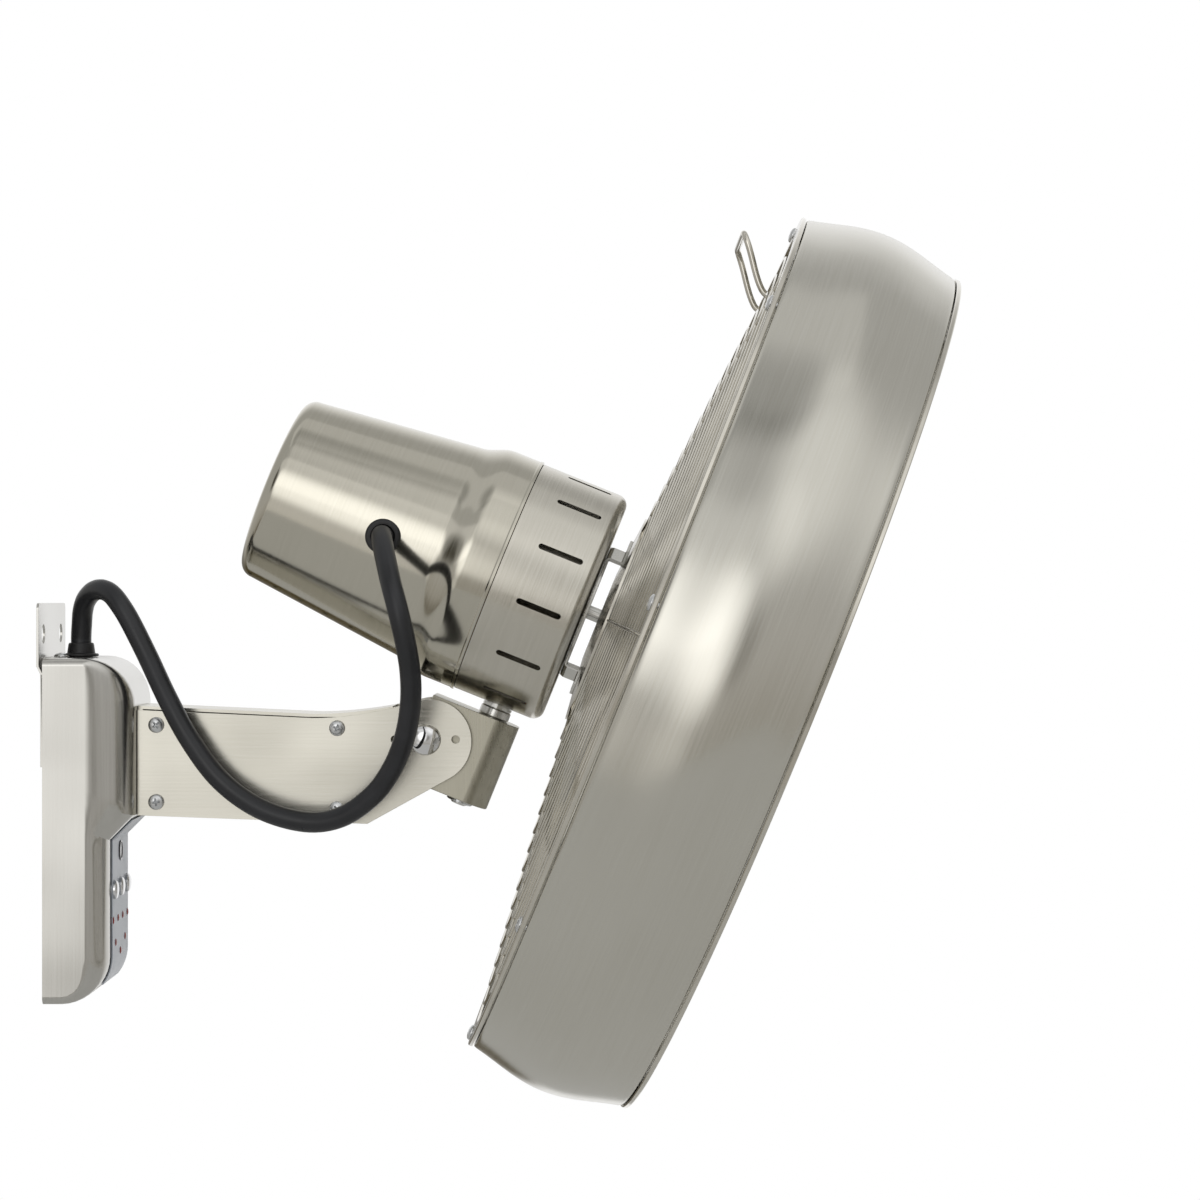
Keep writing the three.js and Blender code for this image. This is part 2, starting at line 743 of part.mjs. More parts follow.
wallUnit.add(
  part("wall_bracket", wallBracket(), brushedSteel),
  part("back_cover", backCover(), brushedSteel),
  part("control_box", controlBox(), brushedSteel),
  part("inner_frame", innerFrame(), brushedSteel),
  part("control_panel", controlPanel(), paleOverlay),
  part("control_board", controlBoard(), circuitGreen),
  part("terminal_block", terminalBlock(), blackPlastic),
  part("receiver_window", receiverWindow(), smokedPlastic),
  part("led_row", lightGuide(lampRow), redLamp),
  part("led_trio", lightGuide(lampTrio), redLamp),
  part("box_gland", boxGland(), blackRubber),
  part("back_cover_screw", panScrew(screwShank)
    .translate(coverFront + coverFlange / 2, 0, boxBottom - gap), zinc),
  part("arm_channel", armChannel(), brushedSteel),
  part("arm_cover", armCover(), brushedSteel),
  part("tilt_bolt", tiltBolt(), chrome),
  part("tilt_nut", tiltNut(), zinc),
  part("washer_near", frictionWasher(-1), blackPlastic),
  part("washer_far", frictionWasher(1), blackPlastic),
);
buttonPlaces.forEach(([y, z], index) => {
  wallUnit.add(part("button_" + (index + 1), pushButton().translate(0, y, z), chrome));
});
armScrewPlaces.forEach((place, index) => {
  wallUnit.add(part("arm_screw_" + (index + 1), screwAlongY(-armHalfWidth - gap, place), zinc));
});

// ---------------------------------------------------------------- tilt bracket

// Its origin is on the bolt's axis, with +X along the head's axis.
const tiltGroup = new THREE.Group();
tiltGroup.position.set(pivotX, 0, pivotZ);
tiltGroup.rotation.y = radians(headTilt);

const knuckleHalfWidth = armHalfWidth - armPlate - 2 * gap - washerThickness;

function knucklePlan(inset, rear) {
  const half = knuckleHalfWidth - inset;
  const front = knuckleFront - inset;
  const radius = knuckleFrontRadius - inset;
  const shape = new THREE.Shape();
  shape.moveTo(rear, -half);
  shape.lineTo(front - radius, -half);
  shape.absarc(front - radius, -half + radius, radius, -Math.PI / 2, 0);
  shape.absarc(front - radius, half - radius, radius, 0, Math.PI / 2);
  shape.lineTo(rear, half);
  return shape;
}

function knuckle() {
  const reach = knuckleLobe + 1;
  const outer = raised(knucklePlan(0, -reach), -knuckleHalfHeight, knuckleHalfHeight, 5);
  const inner = raised(knucklePlan(heavySheet, -reach - 1),
    -knuckleHalfHeight + heavySheet, knuckleHalfHeight - heavySheet, 5);
  const side = joined(
    block([knuckleRear, -armHalfWidth, -knuckleHalfHeight], [knuckleFront + 1, armHalfWidth,
      knuckleHalfHeight]),
    roundY(knuckleLobe, -armHalfWidth, armHalfWidth, [0, 0], 24));
  const pinHole = disc(pinRadius + gap, -knuckleHalfHeight - 1, knuckleHalfHeight + 1, 20)
    .translate(swivelX, 0, 0);
  const boltHole = roundY(boltRadius + gap, -armHalfWidth, armHalfWidth, [0, 0], 20);
  return cut(common(cut(outer, inner), side), pinHole, boltHole);
}

const collarFrom = knuckleHalfHeight + gap;
const collarTo = collarFrom + collarHeight;
const swingMotorFloor = axisHeight -
  Math.sqrt((ringRadius - sheet) ** 2 - swingMotorRadius ** 2) + gap;
const pinTop = swingMotorFloor + swingMotorHeight * 0.7;
const pinBottom = -knuckleHalfHeight - gap - swivelNutThickness - pinTip;

function swivelPin() {
  return turned([
    [0, pinBottom],
    [pinRadius * 0.8, pinBottom],
    [pinRadius, pinBottom + pinTip * 0.5],
    [pinRadius, collarFrom],
    [collarRadius, collarFrom],
    [collarRadius, collarTo],
    [pinRadius, collarTo],
    [pinRadius, pinTop],
    [0, pinTop],
  ], 16).translate(swivelX, 0, 0);
}

const swivelNut = () => ring(pinRadius + gap, swivelNutRadius,
  -knuckleHalfHeight - gap - swivelNutThickness, -knuckleHalfHeight - gap, 20)
  .translate(swivelX, 0, 0);

tiltGroup.add(
  part("knuckle", knuckle(), brushedSteel),
  part("swivel_pin", swivelPin(), brightSteel),
  part("swivel_nut", swivelNut(), zinc),
);

// ---------------------------------------------------------------- head

// Its origin is on the motor's axis over the bolt, with +X along the axis towards the blades.
const head = new THREE.Group();
head.position.set(0, 0, axisHeight);
tiltGroup.add(head);

// Place a piece made about the swivel pin, whose heights count from the bolt.
const onPin = (geometry) => geometry.translate(swivelX, 0, -axisHeight);

// Place something made at the top of the head at an angle about the axis, in degrees.
const atAngle = (geometry, degrees) => geometry.rotateX(radians(degrees));

// The cup's outer radius at a place along the axis.
function cupRadius(x) {
  const start = housingRear + housingRearRound;
  const cone = (place) => housingRearRadius + (place - start) * housingTaper;
  if (x <= flareStart) return cone(x);
  if (x >= flareEnd) return flareRadius;
  const share = (x - flareStart) / (flareEnd - flareStart);
  const rise = (1 - Math.cos(Math.PI * share)) / 2;
  return cone(flareStart) + (flareRadius - cone(flareStart)) * rise;
}

// The cup's outline from its rear face to its open end, drawn in by inset.
function cupLine(inset) {
  const start = housingRear + housingRearRound;
  const flat = housingRearRadius - housingRearRound;
  const round = [1, 0.67, 0.33, 0].map((share) => {
    const angle = share * Math.PI / 2;
    const radius = housingRearRound - inset;
    return [flat + radius * Math.cos(angle), start - radius * Math.sin(angle)];
  });
  const flare = [0, 0.3, 0.7, 1].map((share) => {
    const x = flareStart + share * (flareEnd - flareStart);
    return [cupRadius(x) - inset, x];
  });
  return [...round, ...flare, [flareRadius - inset, seam]];
}

const grommetSeat = cupRadius(grommetX + grommetRadius) + gap;
const grommetPlace = (from, to, radius, segments) =>
  alongY(disc(radius, from, to, segments)).translate(grommetX, 0, -grommetDrop);

function rearHousing() {
  const outer = cupLine(0);
  const inner = cupLine(sheet).reverse();
  const shell = alongX(turned([[0, housingRear], ...outer, ...inner, [0, housingRear + sheet]],
    motorSides));
  const drains = Array.from({ length: drainCount }, (_, index) => {
    const x = drainStart + index * drainPitch;
    const reach = cupRadius(x);
    return atAngle(disc(drainRadius, reach - sheet - 2, reach + 2, 8), drainAngle)
      .translate(x, 0, 0);
  });
  const reach = cupRadius(grommetX);
  return cut(shell, ...drains, grommetPlace(-reach - 5, -reach + 6, grommetNeckRadius + gap, 20));
}

function motorGrommet() {
  const reach = cupRadius(grommetX);
  const seat = -grommetSeat;
  const piece = turned([
    [cordDiameter * 0.35, seat - grommetRise],
    [cordDiameter * 0.35, -reach + 5],
    [grommetNeckRadius, -reach + 5],
    [grommetNeckRadius, seat],
    [grommetRadius, seat],
    [grommetRadius, seat - grommetRise * 0.5],
    [grommetRadius - 1.5, seat - grommetRise],
  ], 16);
  return alongY(piece).translate(grommetX, 0, -grommetDrop);
}

const bearingSeat = bearingRadius + gap;
const ringBack = seam + gap;

function frontHousing() {
  const back = ringBack;
  const rounded = (inset) => [0, 0.5, 1].map((share) => {
    const angle = share * Math.PI / 2;
    const radius = ringRound - inset;
    return [ringRadius - ringRound + radius * Math.cos(angle),
      ringFront - ringRound + radius * Math.sin(angle)];
  });
  const plate = ringFront - sheet;
  const boss = bearingFront - bearingWidth - 1;
  const shell = alongX(turned([
    [ringRadius, back],
    ...rounded(0),
    [shaftRadius + 2, ringFront],
    [shaftRadius + 2, bearingFront + gap],
    [bearingSeat, bearingFront + gap],
    [bearingSeat, boss],
    [bearingSeat + bearingWall, boss],
    [bearingSeat + bearingWall, plate],
    [guardRadius - sheet, plate],
    [guardRadius - sheet, guardBack],
    [guardRadius, guardBack],
    [guardRadius, plate],
    ...rounded(sheet).reverse(),
    [ringRadius - sheet, back],
  ], motorSides));
  const vent = raised(slotShape(slotLength, slotWidth), ringRadius - 6, ringRadius + 4, 2)
    .translate(slotStart + slotLength / 2, 0, 0);
  const places = Array.from({ length: slotCount }, (_, index) => index);
  const vents = places.filter((index) => index !== pinSlot).map((index) =>
    atAngle(vent.clone(), slotPhase + index * 360 / slotCount));
  const pinHole = onPin(disc(pinRadius + gap + bushWall + gap, axisHeight - ringRadius - 3,
    axisHeight - ringRadius + 6, 20));
  return cut(shell, ...vents, pinHole);
}

// Flanged bush in the ring's wall round the swivel pin.
function swivelBush() {
  const inner = pinRadius + gap;
  const flangeTop = axisHeight - ringRadius - gap;
  return onPin(turned([
    [inner, flangeTop - bushFlange],
    [inner + bushWall * 2, flangeTop - bushFlange],
    [inner + bushWall * 2, flangeTop],
    [inner + bushWall, flangeTop],
    [inner + bushWall, swingMotorFloor - gap],
    [inner, swingMotorFloor - gap],
  ], 16));
}

// Geared drive that sits on the ring's wall and turns the head about the pin.
const swingMotor = () => onPin(cut(
  disc(swingMotorRadius, swingMotorFloor, swingMotorFloor + swingMotorHeight, 20),
  disc(pinRadius + gap, swingMotorFloor - 1, pinTop + 1, 20)));

function endShield() {
  const rim = cupRadius(shieldX) - sheet - gap;
  const boss = shieldX - bearingWidth - 1;
  return alongX(turned([
    [shaftRadius + 2, shieldX],
    [bearingSeat, shieldX],
    [bearingSeat, boss],
    [bearingSeat + bearingWall, boss],
    [bearingSeat + bearingWall, shieldX],
    [rim, shieldX],
    [rim, shieldX + shieldThickness],
    [shaftRadius + 2, shieldX + shieldThickness],
  ], motorSides));
}

const bearing = (front) => alongX(ring(shaftRadius + gap, bearingRadius, front - bearingWidth,
  front, 20));

const coreEnd = coreStart + coreLength;
const coreRadius = cupRadius(coreStart) - sheet - gap;
const winding = (from, to) => alongX(ring(windingInner, windingOuter, from, to, 24));

const capacitor = () => atAngle(alongX(disc(capacitorRadius, shieldX - gap - capacitorLength,
  shieldX - gap, 20)).translate(0, 0, capacitorReach), 60);

// A pitched blade as a closed skin, in stations from root to tip and from edge to edge.
function blade() {
  const stations = 6;
  const chords = 4;
  const points = [];
  for (const side of [1, -1]) {
    for (let station = 0; station <= stations; station++) {
      const share = station / stations;
      const radius = THREE.MathUtils.lerp(bladeRoot, bladeTip, share);
      const chord = THREE.MathUtils.lerp(bladeRootChord, bladeTipChord, share ** 0.8);
      const pitch = radians(THREE.MathUtils.lerp(bladeRootPitch, bladeTipPitch, share));
      const lead = radians(bladeSweep) * share ** 2;
      for (let step = 0; step <= chords; step++) {
        const across = step / chords - 0.5;
        const camber = bladeCamber * (1 - 4 * across ** 2);
        const turn = lead + across * chord * Math.cos(pitch) / Math.max(radius, bladeDisc);
        const x = bladeCentre + across * chord * Math.sin(pitch) + camber + side * bladeThickness / 2;
        points.push(x, radius * Math.sin(turn), radius * Math.cos(turn));
      }
    }
  }
  const row = chords + 1;
  const layer = row * (stations + 1);
  const index = [];
  const quad = (a, b, c, d) => index.push(a, c, b, a, d, c);
  for (let station = 0; station < stations; station++) {
    for (let step = 0; step < chords; step++) {
      const corner = station * row + step;
      quad(corner, corner + row, corner + row + 1, corner + 1);
      quad(layer + corner, layer + corner + 1, layer + corner + row + 1, layer + corner + row);
    }
    const first = station * row;
    const last = first + chords;
    quad(first, layer + first, layer + first + row, first + row);
    quad(last, last + row, layer + last + row, layer + last);
  }
  for (let step = 0; step < chords; step++) {
    const tip = stations * row + step;
    quad(step, step + 1, layer + step + 1, layer + step);
    quad(tip, layer + tip, layer + tip + 1, tip + 1);
  }
  const geometry = new THREE.BufferGeometry();
  geometry.setAttribute("position", new THREE.Float32BufferAttribute(points, 3));
  geometry.setIndex(index);
  return geometry;
}

const hubRear = bladeCentre - hubLength / 2;
const hubFront = bladeCentre + hubLength / 2;

function fanBlade() {
  const blades = Array.from({ length: bladeCount }, (_, index) =>
    atAngle(blade(), index * 360 / bladeCount));
  const plate = alongX(disc(bladeDisc, bladeCentre - bladeDiscHalf, bladeCentre + bladeDiscHalf,
    32));
  const bore = alongX(disc(hubRadius + gap, hubRear - bladeDisc, hubFront + bladeDisc, 24));
  return cut(joined(plate, ...blades), bore);
}

// Hub with a shoulder that the blades' disc lies against.
function bladeHub() {
  const shoulder = bladeCentre - bladeDiscHalf - gap;
  return alongX(turned([
    [shaftNose + gap, hubRear],
    [hubRadius + hubShoulder, hubRear],
    [hubRadius + hubShoulder, shoulder],
    [hubRadius, shoulder],
    [hubRadius, hubFront],
    [shaftNose + gap, hubFront],
  ], 16));
}

const bladeNut = () => alongX(turned([
  [shaftNose + gap, hubFront + gap],
  [bladeNutRadius, hubFront + gap],
  [bladeNutRadius, hubFront + gap + bladeNutThickness * 0.6],
  [bladeNutRadius * 0.8, hubFront + gap + bladeNutThickness],
  [shaftNose + gap, hubFront + gap + bladeNutThickness],
], 12));

function motorShaft() {
  const rear = shieldX - bearingWidth - 1;
  const step = ringFront - 2;
  const end = hubFront + gap + bladeNutThickness - 1;
  return alongX(turned([
    [0, rear],
    [shaftRadius, rear],
    [shaftRadius, step],
    [shaftNose, step],
    [shaftNose, end],
    [0, end],
  ], 20));
}

const rotorCore = () => alongX(ring(shaftRadius + gap, coreBore - airGap, coreStart, coreEnd, 24));

// ---------------------------------------------------------------- cage

const rimInner = rimRadius - rimFlange;
const rimScrewAngles = Array.from({ length: rimScrewCount }, (_, index) =>
  rimScrewPhase + index * 360 / rimScrewCount);
const rimHole = (from, to, angle) => atAngle(alongX(disc(screwShankRadius + gap, from, to, 6))
  .translate(0, 0, rimScrewCircle), angle);

// Radius of a grille's ring at its corners, counted from the edge of the solid middle.
const ringAt = (row) => THREE.MathUtils.lerp(plateRadius, rimInner, row / wireRows);

// An open mesh of concentric wires between a solid middle and the rim, six ribs holding them, as a
// flat sheet. Then each point moves to the rear by its share of the dish.
function grille(rear, dish, hole) {
  const arc = (radius, from, to, steps) => Array.from({ length: steps + 1 }, (_, step) => {
    const angle = THREE.MathUtils.lerp(from, to, step / steps);
    return new THREE.Vector2(radius * Math.cos(angle), radius * Math.sin(angle));
  });
  const shape = new THREE.Shape(arc(rimRadius, 0, Math.PI * 2, rimSides).slice(1));
  if (hole > 0) shape.holes.push(new THREE.Path(arc(hole, 0, Math.PI * 2, 16).slice(1)));
  for (let row = 0; row < wireRows; row++) {
    const inner = ringAt(row) + (row ? wireWidth / 2 : 0);
    const outer = ringAt(row + 1) - (row < wireRows - 1 ? wireWidth / 2 : 0);
    for (let rib = 0; rib < ribCount; rib++) {
      const middle = (rib + 0.5) * Math.PI * 2 / ribCount;
      const open = (radius) => Math.PI / ribCount - ribWidth / 2 / radius;
      const near = arc(inner, middle - open(inner), middle + open(inner), wireSteps);
      const far = arc(outer, middle + open(outer), middle - open(outer), wireSteps);
      shape.holes.push(new THREE.Path([...near, ...far]));
    }
  }
  const sheetGrille = alongX(raised(shape, 0, grilleThickness));
  const position = sheetGrille.attributes.position;
  for (let index = 0; index < position.count; index++) {
    const radius = Math.hypot(position.getY(index), position.getZ(index));
    const depth = dish * Math.max(0, 1 - radius / rimInner);
    position.setX(index, position.getX(index) + rear - depth);
  }
  return sheetGrille;
}

const rearGrille = () => cut(grille(rimRear, rearDish, plateHole),
  ...rimScrewAngles.map((angle) => rimHole(rimRear - 1, rimRear + grilleThickness + 1, angle)));

function drum() {
  const from = rimRear + grilleThickness + gap;
  const to = rimFront - grilleThickness - gap;
  const wall = (inset, first, last) => {
    const line = [];
    for (let span = first; span <= last; span++) {
      const share = span / bulgeSpans;
      const swell = bulgeDepth * Math.max(0, Math.sin(Math.PI * share)) ** bulgeFullness;
      line.push([rimRadius + swell - inset, THREE.MathUtils.lerp(from, to, share)]);
    }
    return line;
  };
  const shell = alongX(turned([
    ...wall(0, 0, bulgeSpans),
    [rimInner, to],
    [rimInner, to - sheet],
    [rimRadius - sheet, to - sheet],
    ...wall(sheet, 1, bulgeSpans - 1).reverse(),
    [rimRadius - sheet, from + sheet],
    [rimInner, from + sheet],
    [rimInner, from],
  ], rimSides));
  return cut(shell, ...rimScrewAngles.map((angle) => rimHole(from - 1, from + sheet + 1, angle)));
}

const rimScrew = (angle) => atAngle(alongX(panScrew(rimScrewShank, false))
  .translate(rimRear - gap, 0, rimScrewCircle), angle);

// The rear face of the dished grille at a distance from the axis.
const grilleBack = (radius) => rimRear - rearDish * (1 - radius / rimInner);

function liftHandle() {
  const half = handleWidth / 2;
  const weld = ringAt(handleRing);
  const foot = grilleBack(weld - wireWidth / 2) - gap;
  const height = weld - half * Math.tan(Math.PI / ribCount / wireSteps);
  const share = (part) => [foot - handleFoot - handleRise * part, height + handleReach * part];
  const leg = (side) => [
    [foot, side * half, height],
    [foot - handleFoot * 0.65, side * half, height],
    [share(0.12)[0], side * half, share(0.12)[1]],
    [share(0.72)[0], side * half, share(0.72)[1]],
    [share(0.94)[0], side * (half - handleBend * 0.35), share(0.94)[1]],
    [share(1)[0], side * (half - handleBend), share(1)[1]],
  ];
  const route = [...leg(-1), ...leg(1).reverse()].map((place) => new THREE.Vector3(...place));
  const path = new THREE.CatmullRomCurve3(route, false, "catmullrom", 0.35);
  const section = new THREE.Shape().absarc(0, 0, handleWire / 2, 0, Math.PI * 2);
  return new THREE.ExtrudeGeometry(section, {
    steps: 26, curveSegments: 3, extrudePath: path, bevelEnabled: false,
  });
}

// Four bent legs on a ring that lies on the motor's front and carry the rear grille's middle.
function grilleSpider() {
  const base = ringFront + gap;
  const foot = grilleBack(spiderLegRadius) - gap;
  const half = spiderWidth / 2;
  const legs = Array.from({ length: spiderLegs }, (_, index) => {
    const leg = joined(
      block([base, -half, spiderRing - 5], [base + spiderSheet, half, spiderLegRadius + spiderSheet]),
      block([base, -half, spiderLegRadius], [foot, half, spiderLegRadius + spiderSheet]),
      block([foot - spiderSheet, -half, spiderLegRadius], [foot, half, spiderLegRadius + spiderFoot]));
    return atAngle(leg, 45 + index * 360 / spiderLegs);
  });
  const flange = alongX(ring(spiderInner, spiderRing, base, base + spiderSheet, 32));
  return joined(flange, ...legs);
}

head.add(
  part("rear_housing", rearHousing(), brushedSteel),
  part("front_housing", frontHousing(), brushedSteel),
  part("swivel_bush", swivelBush(), brightSteel),
  part("swing_motor", swingMotor(), blackPlastic),
  part("end_shield", endShield(), aluminium),
  part("stator_core", alongX(ring(coreBore, coreRadius, coreStart, coreEnd,
    motorSides)), coreSteel),
  part("winding_rear", winding(coreStart - gap - windingThickness, coreStart - gap), copperWire),
  part("winding_front", winding(coreEnd + gap, coreEnd + gap + windingThickness), copperWire),
  part("front_bearing", bearing(bearingFront), zinc),
  part("rear_bearing", bearing(shieldX - gap), zinc),
  part("run_capacitor", capacitor(), blackPlastic),
  part("motor_grommet", motorGrommet(), blackRubber),
  part("grille_spider", grilleSpider(), brushedSteel),
  part("drum", drum(), brushedSteel),
  part("rear_grille", rearGrille(), brightSteel),
  part("front_grille", grille(rimFront - grilleThickness, 0, frontCapHole), brightSteel),
  part("lift_handle", liftHandle(), brightSteel),
  part("motor_shaft", motorShaft(), brightSteel),
  part("rotor_core", rotorCore(), coreSteel),
  part("blade_hub", bladeHub(), aluminium),
  part("fan_blade", fanBlade(), aluminium),
  part("blade_nut", bladeNut(), zinc),
);
rimScrewAngles.forEach((angle, index) => {
  head.add(part("rim_screw_" + (index + 1), rimScrew(angle), zinc));
});

// ---------------------------------------------------------------- cord

// The whole route, from face to face with the gland and the grommet.
function cordCurve() {
  const start = boxTop + gap + glandFlange + glandCollar + cordEnd;
  tiltGroup.updateMatrixWorld(true);
  const face = -grommetSeat - grommetRise - cordEnd;
  const exit = (out) => head.localToWorld(new THREE.Vector3(grommetX, face - out, -grommetDrop));
  const route = [
    new THREE.Vector3(glandX, 0, start),
    new THREE.Vector3(glandX, 0, start + cordDiameter * 0.4),
    ...cordRoute.map((place) => new THREE.Vector3(...place)),
    exit(cordDiameter * 0.5),
    exit(0),
  ];
  return new THREE.CatmullRomCurve3(route, false, "catmullrom", 0.5);
}

// One half of the cord as a tube, between two shares of its length. A point close to each end keeps
// the end square.
function cordHalf(curve, from, to) {
  const inner = Array.from({ length: cordSteps - 1 }, (_, step) => (step + 1) / cordSteps);
  const places = [0, 0.01, ...inner, 0.99, 1].map((share) =>
    curve.getPointAt(THREE.MathUtils.lerp(from, to, share)));
  const section = new THREE.Shape().absarc(0, 0, cordDiameter / 2, 0, Math.PI * 2);
  return new THREE.ExtrudeGeometry(section, {
    steps: cordSteps,
    curveSegments: cordSides / 2,
    extrudePath: new THREE.CatmullRomCurve3(places),
    bevelEnabled: false,
  });
}

const cord = new THREE.Group();
const route = cordCurve();
const cordMiddle = 0.535; // share of the length at the loop's lowest point
const jointShare = cordEnd / 2 / route.getLength();
cord.add(
  part("cord_lower", cordHalf(route, 0, cordMiddle - jointShare), blackRubber),
  part("cord_upper", cordHalf(route, cordMiddle + jointShare, 1), blackRubber),
);

const fan = new THREE.Group();
fan.name = "wall_fan";
fan.add(wallUnit, tiltGroup, cord);

export default fan;
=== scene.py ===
"""The looks of a wall mounted fan in brushed stainless steel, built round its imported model.

Sizes are millimetres in the row's frame: the origin is on the wall midway between the bracket's
screw holes, +X leaves the wall, +Z is up and -Y is the side with the cord. The workshop functions
turn them into Blender's metres. Pieces of the head are made about its own axis, then put in place.
"""

from __future__ import annotations

import json
import logging
import math
from dataclasses import dataclass, field
from enum import Enum

import bmesh
import bpy
from mathutils import Matrix, Vector

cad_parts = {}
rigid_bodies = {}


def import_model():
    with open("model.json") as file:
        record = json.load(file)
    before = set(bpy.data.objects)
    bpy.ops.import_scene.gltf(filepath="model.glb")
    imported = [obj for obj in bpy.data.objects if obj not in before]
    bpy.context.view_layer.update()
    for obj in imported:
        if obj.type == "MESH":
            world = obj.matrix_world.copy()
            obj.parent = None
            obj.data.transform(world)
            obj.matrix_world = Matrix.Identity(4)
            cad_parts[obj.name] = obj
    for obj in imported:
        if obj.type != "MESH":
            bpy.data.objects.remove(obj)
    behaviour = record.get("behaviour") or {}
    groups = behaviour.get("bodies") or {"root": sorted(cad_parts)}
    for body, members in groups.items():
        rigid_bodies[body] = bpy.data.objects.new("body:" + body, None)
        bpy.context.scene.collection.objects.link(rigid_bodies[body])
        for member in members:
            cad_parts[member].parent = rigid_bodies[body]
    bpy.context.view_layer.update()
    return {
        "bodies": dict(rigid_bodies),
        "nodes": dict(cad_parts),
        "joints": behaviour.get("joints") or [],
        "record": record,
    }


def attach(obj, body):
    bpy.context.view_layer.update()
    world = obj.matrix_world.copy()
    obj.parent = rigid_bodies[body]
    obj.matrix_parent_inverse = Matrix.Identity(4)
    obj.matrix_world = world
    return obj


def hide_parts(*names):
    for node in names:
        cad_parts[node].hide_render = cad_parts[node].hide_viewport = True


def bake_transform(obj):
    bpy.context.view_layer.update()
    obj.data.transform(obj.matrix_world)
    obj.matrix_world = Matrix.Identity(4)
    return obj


LOG = logging.getLogger("wall_fan")

MM = 0.001
GAP = 0.3  # clearance between pieces that touch
GLAND_X = 20.0  # from the wall to the middle of the cord gland
LID_SCREW = (9.3, -10.0)  # the short screw beside the gland
BOLT_BORE = 5.3
PIN_BORE = 5.8

Pair = tuple[float, float]
Triple = tuple[float, float, float]
Piece = bpy.types.Object
Socket = bpy.types.NodeSocket


# ------------------------------------------------------------------ workshop


class Plane(Enum):
    """The plane that a flat outline is drawn in, and so the way that it is pressed out."""

    XZ = "XZ"
    XY = "XY"
    YZ = "YZ"

    def point(self, pair: Pair, depth: float) -> Triple:
        """Give the point at a pair in the plane and a depth across it."""
        first, second = pair
        return {"XZ": (first, depth, second), "XY": (first, second, depth),
                "YZ": (depth, first, second)}[self.value]


def clear_bench() -> None:
    """Leave edit mode and let go of everything."""
    if bpy.context.object and bpy.context.object.mode != "OBJECT":
        bpy.ops.object.mode_set(mode="OBJECT")
    bpy.ops.object.select_all(action="DESELECT")


def take(piece: Piece) -> None:
    """Make the piece the only one selected, and the active one."""
    clear_bench()
    piece.select_set(True)
    bpy.context.view_layer.objects.active = piece


def close_up(merge: float = 0.002) -> None:
    """Merge doubles in the open piece, turn its faces outwards and leave edit mode.

    Args:
        merge: Points nearer than this, in millimetres, become one.
    """
    bpy.ops.mesh.select_all(action="SELECT")
    bpy.ops.mesh.remove_doubles(threshold=merge * MM)
    bpy.ops.mesh.normals_make_consistent(inside=False)
    bpy.ops.object.mode_set(mode="OBJECT")


def cleaned(piece: Piece) -> Piece:
    """Open the piece in edit mode and close it up again.

    Args:
        piece: The piece.

    Returns:
        The piece.
    """
    take(piece)
    bpy.ops.object.mode_set(mode="EDIT")
    close_up()
    return piece


def wire(name: str, points: list[Triple], closed: bool) -> Piece:
    """Draw a line of edges by extruding one point along a list of places.

    Args:
        name: The object's name.
        points: The places.
        closed: Whether the line runs back to its first point.

    Returns:
        The object, left in edit mode with all of it selected.
    """
    clear_bench()
    bpy.ops.mesh.primitive_plane_add(size=MM)
    piece = bpy.context.object
    piece.name = name
    bpy.ops.object.mode_set(mode="EDIT")
    bpy.ops.mesh.select_all(action="SELECT")
    bpy.ops.mesh.merge(type="CENTER")
    places = [Vector(point) * MM for point in points]
    bpy.ops.transform.translate(value=places[0])
    route = places + ([places[0]] if closed else [])
    for here, there in zip(route, route[1:]):
        bpy.ops.mesh.extrude_vertices_move(TRANSFORM_OT_translate={"value": there - here})
    bpy.ops.mesh.select_all(action="SELECT")
    bpy.ops.mesh.remove_doubles(threshold=0.0005 * MM)
    bpy.ops.mesh.select_all(action="SELECT")
    return piece


def spun(name: str, outline: list[Pair], steps: int = 64, closed: bool = True) -> Piece:
    """Spin an outline about the X axis into a turned piece.

    Args:
        name: The object's name.
        outline: Pairs of place along the axis and radius.
        steps: Steps in the full turn.
        closed: Whether the outline runs back to its start. An open one has its ends on the axis.

    Returns:
        The turned piece.
    """
    piece = wire(name, [(along, 0.0, radius) for along, radius in outline], closed)
    bpy.ops.mesh.spin(steps=steps, angle=math.tau, center=(0, 0, 0), axis=(1, 0, 0))
    close_up()
    return piece


def bar(radius: float, start: float, end: float, steps: int = 32) -> Piece:
    """Turn a plain round bar along X between two places."""
    return spun("bar", [(start, 0), (start, radius), (end, radius), (end, 0)], steps, False)


def pressed(name: str, outline: list[Pair], low: float, high: float,
            plane: Plane = Plane.XZ) -> Piece:
    """Press a closed flat outline out into a plate or bar.

    Args:
        name: The object's name.
        outline: The outline's pairs in the plane.
        low: Where it starts across the plane.
        high: Where it ends.
        plane: The plane that the outline lies in.

    Returns:
        The pressed piece.
    """
    piece = wire(name, [plane.point(pair, low) for pair in outline], True)
    bpy.ops.mesh.edge_face_add()
    rise = Vector(plane.point((0, 0), high - low)) * MM
    bpy.ops.mesh.extrude_region_move(TRANSFORM_OT_translate={"value": rise})
    close_up()
    return piece


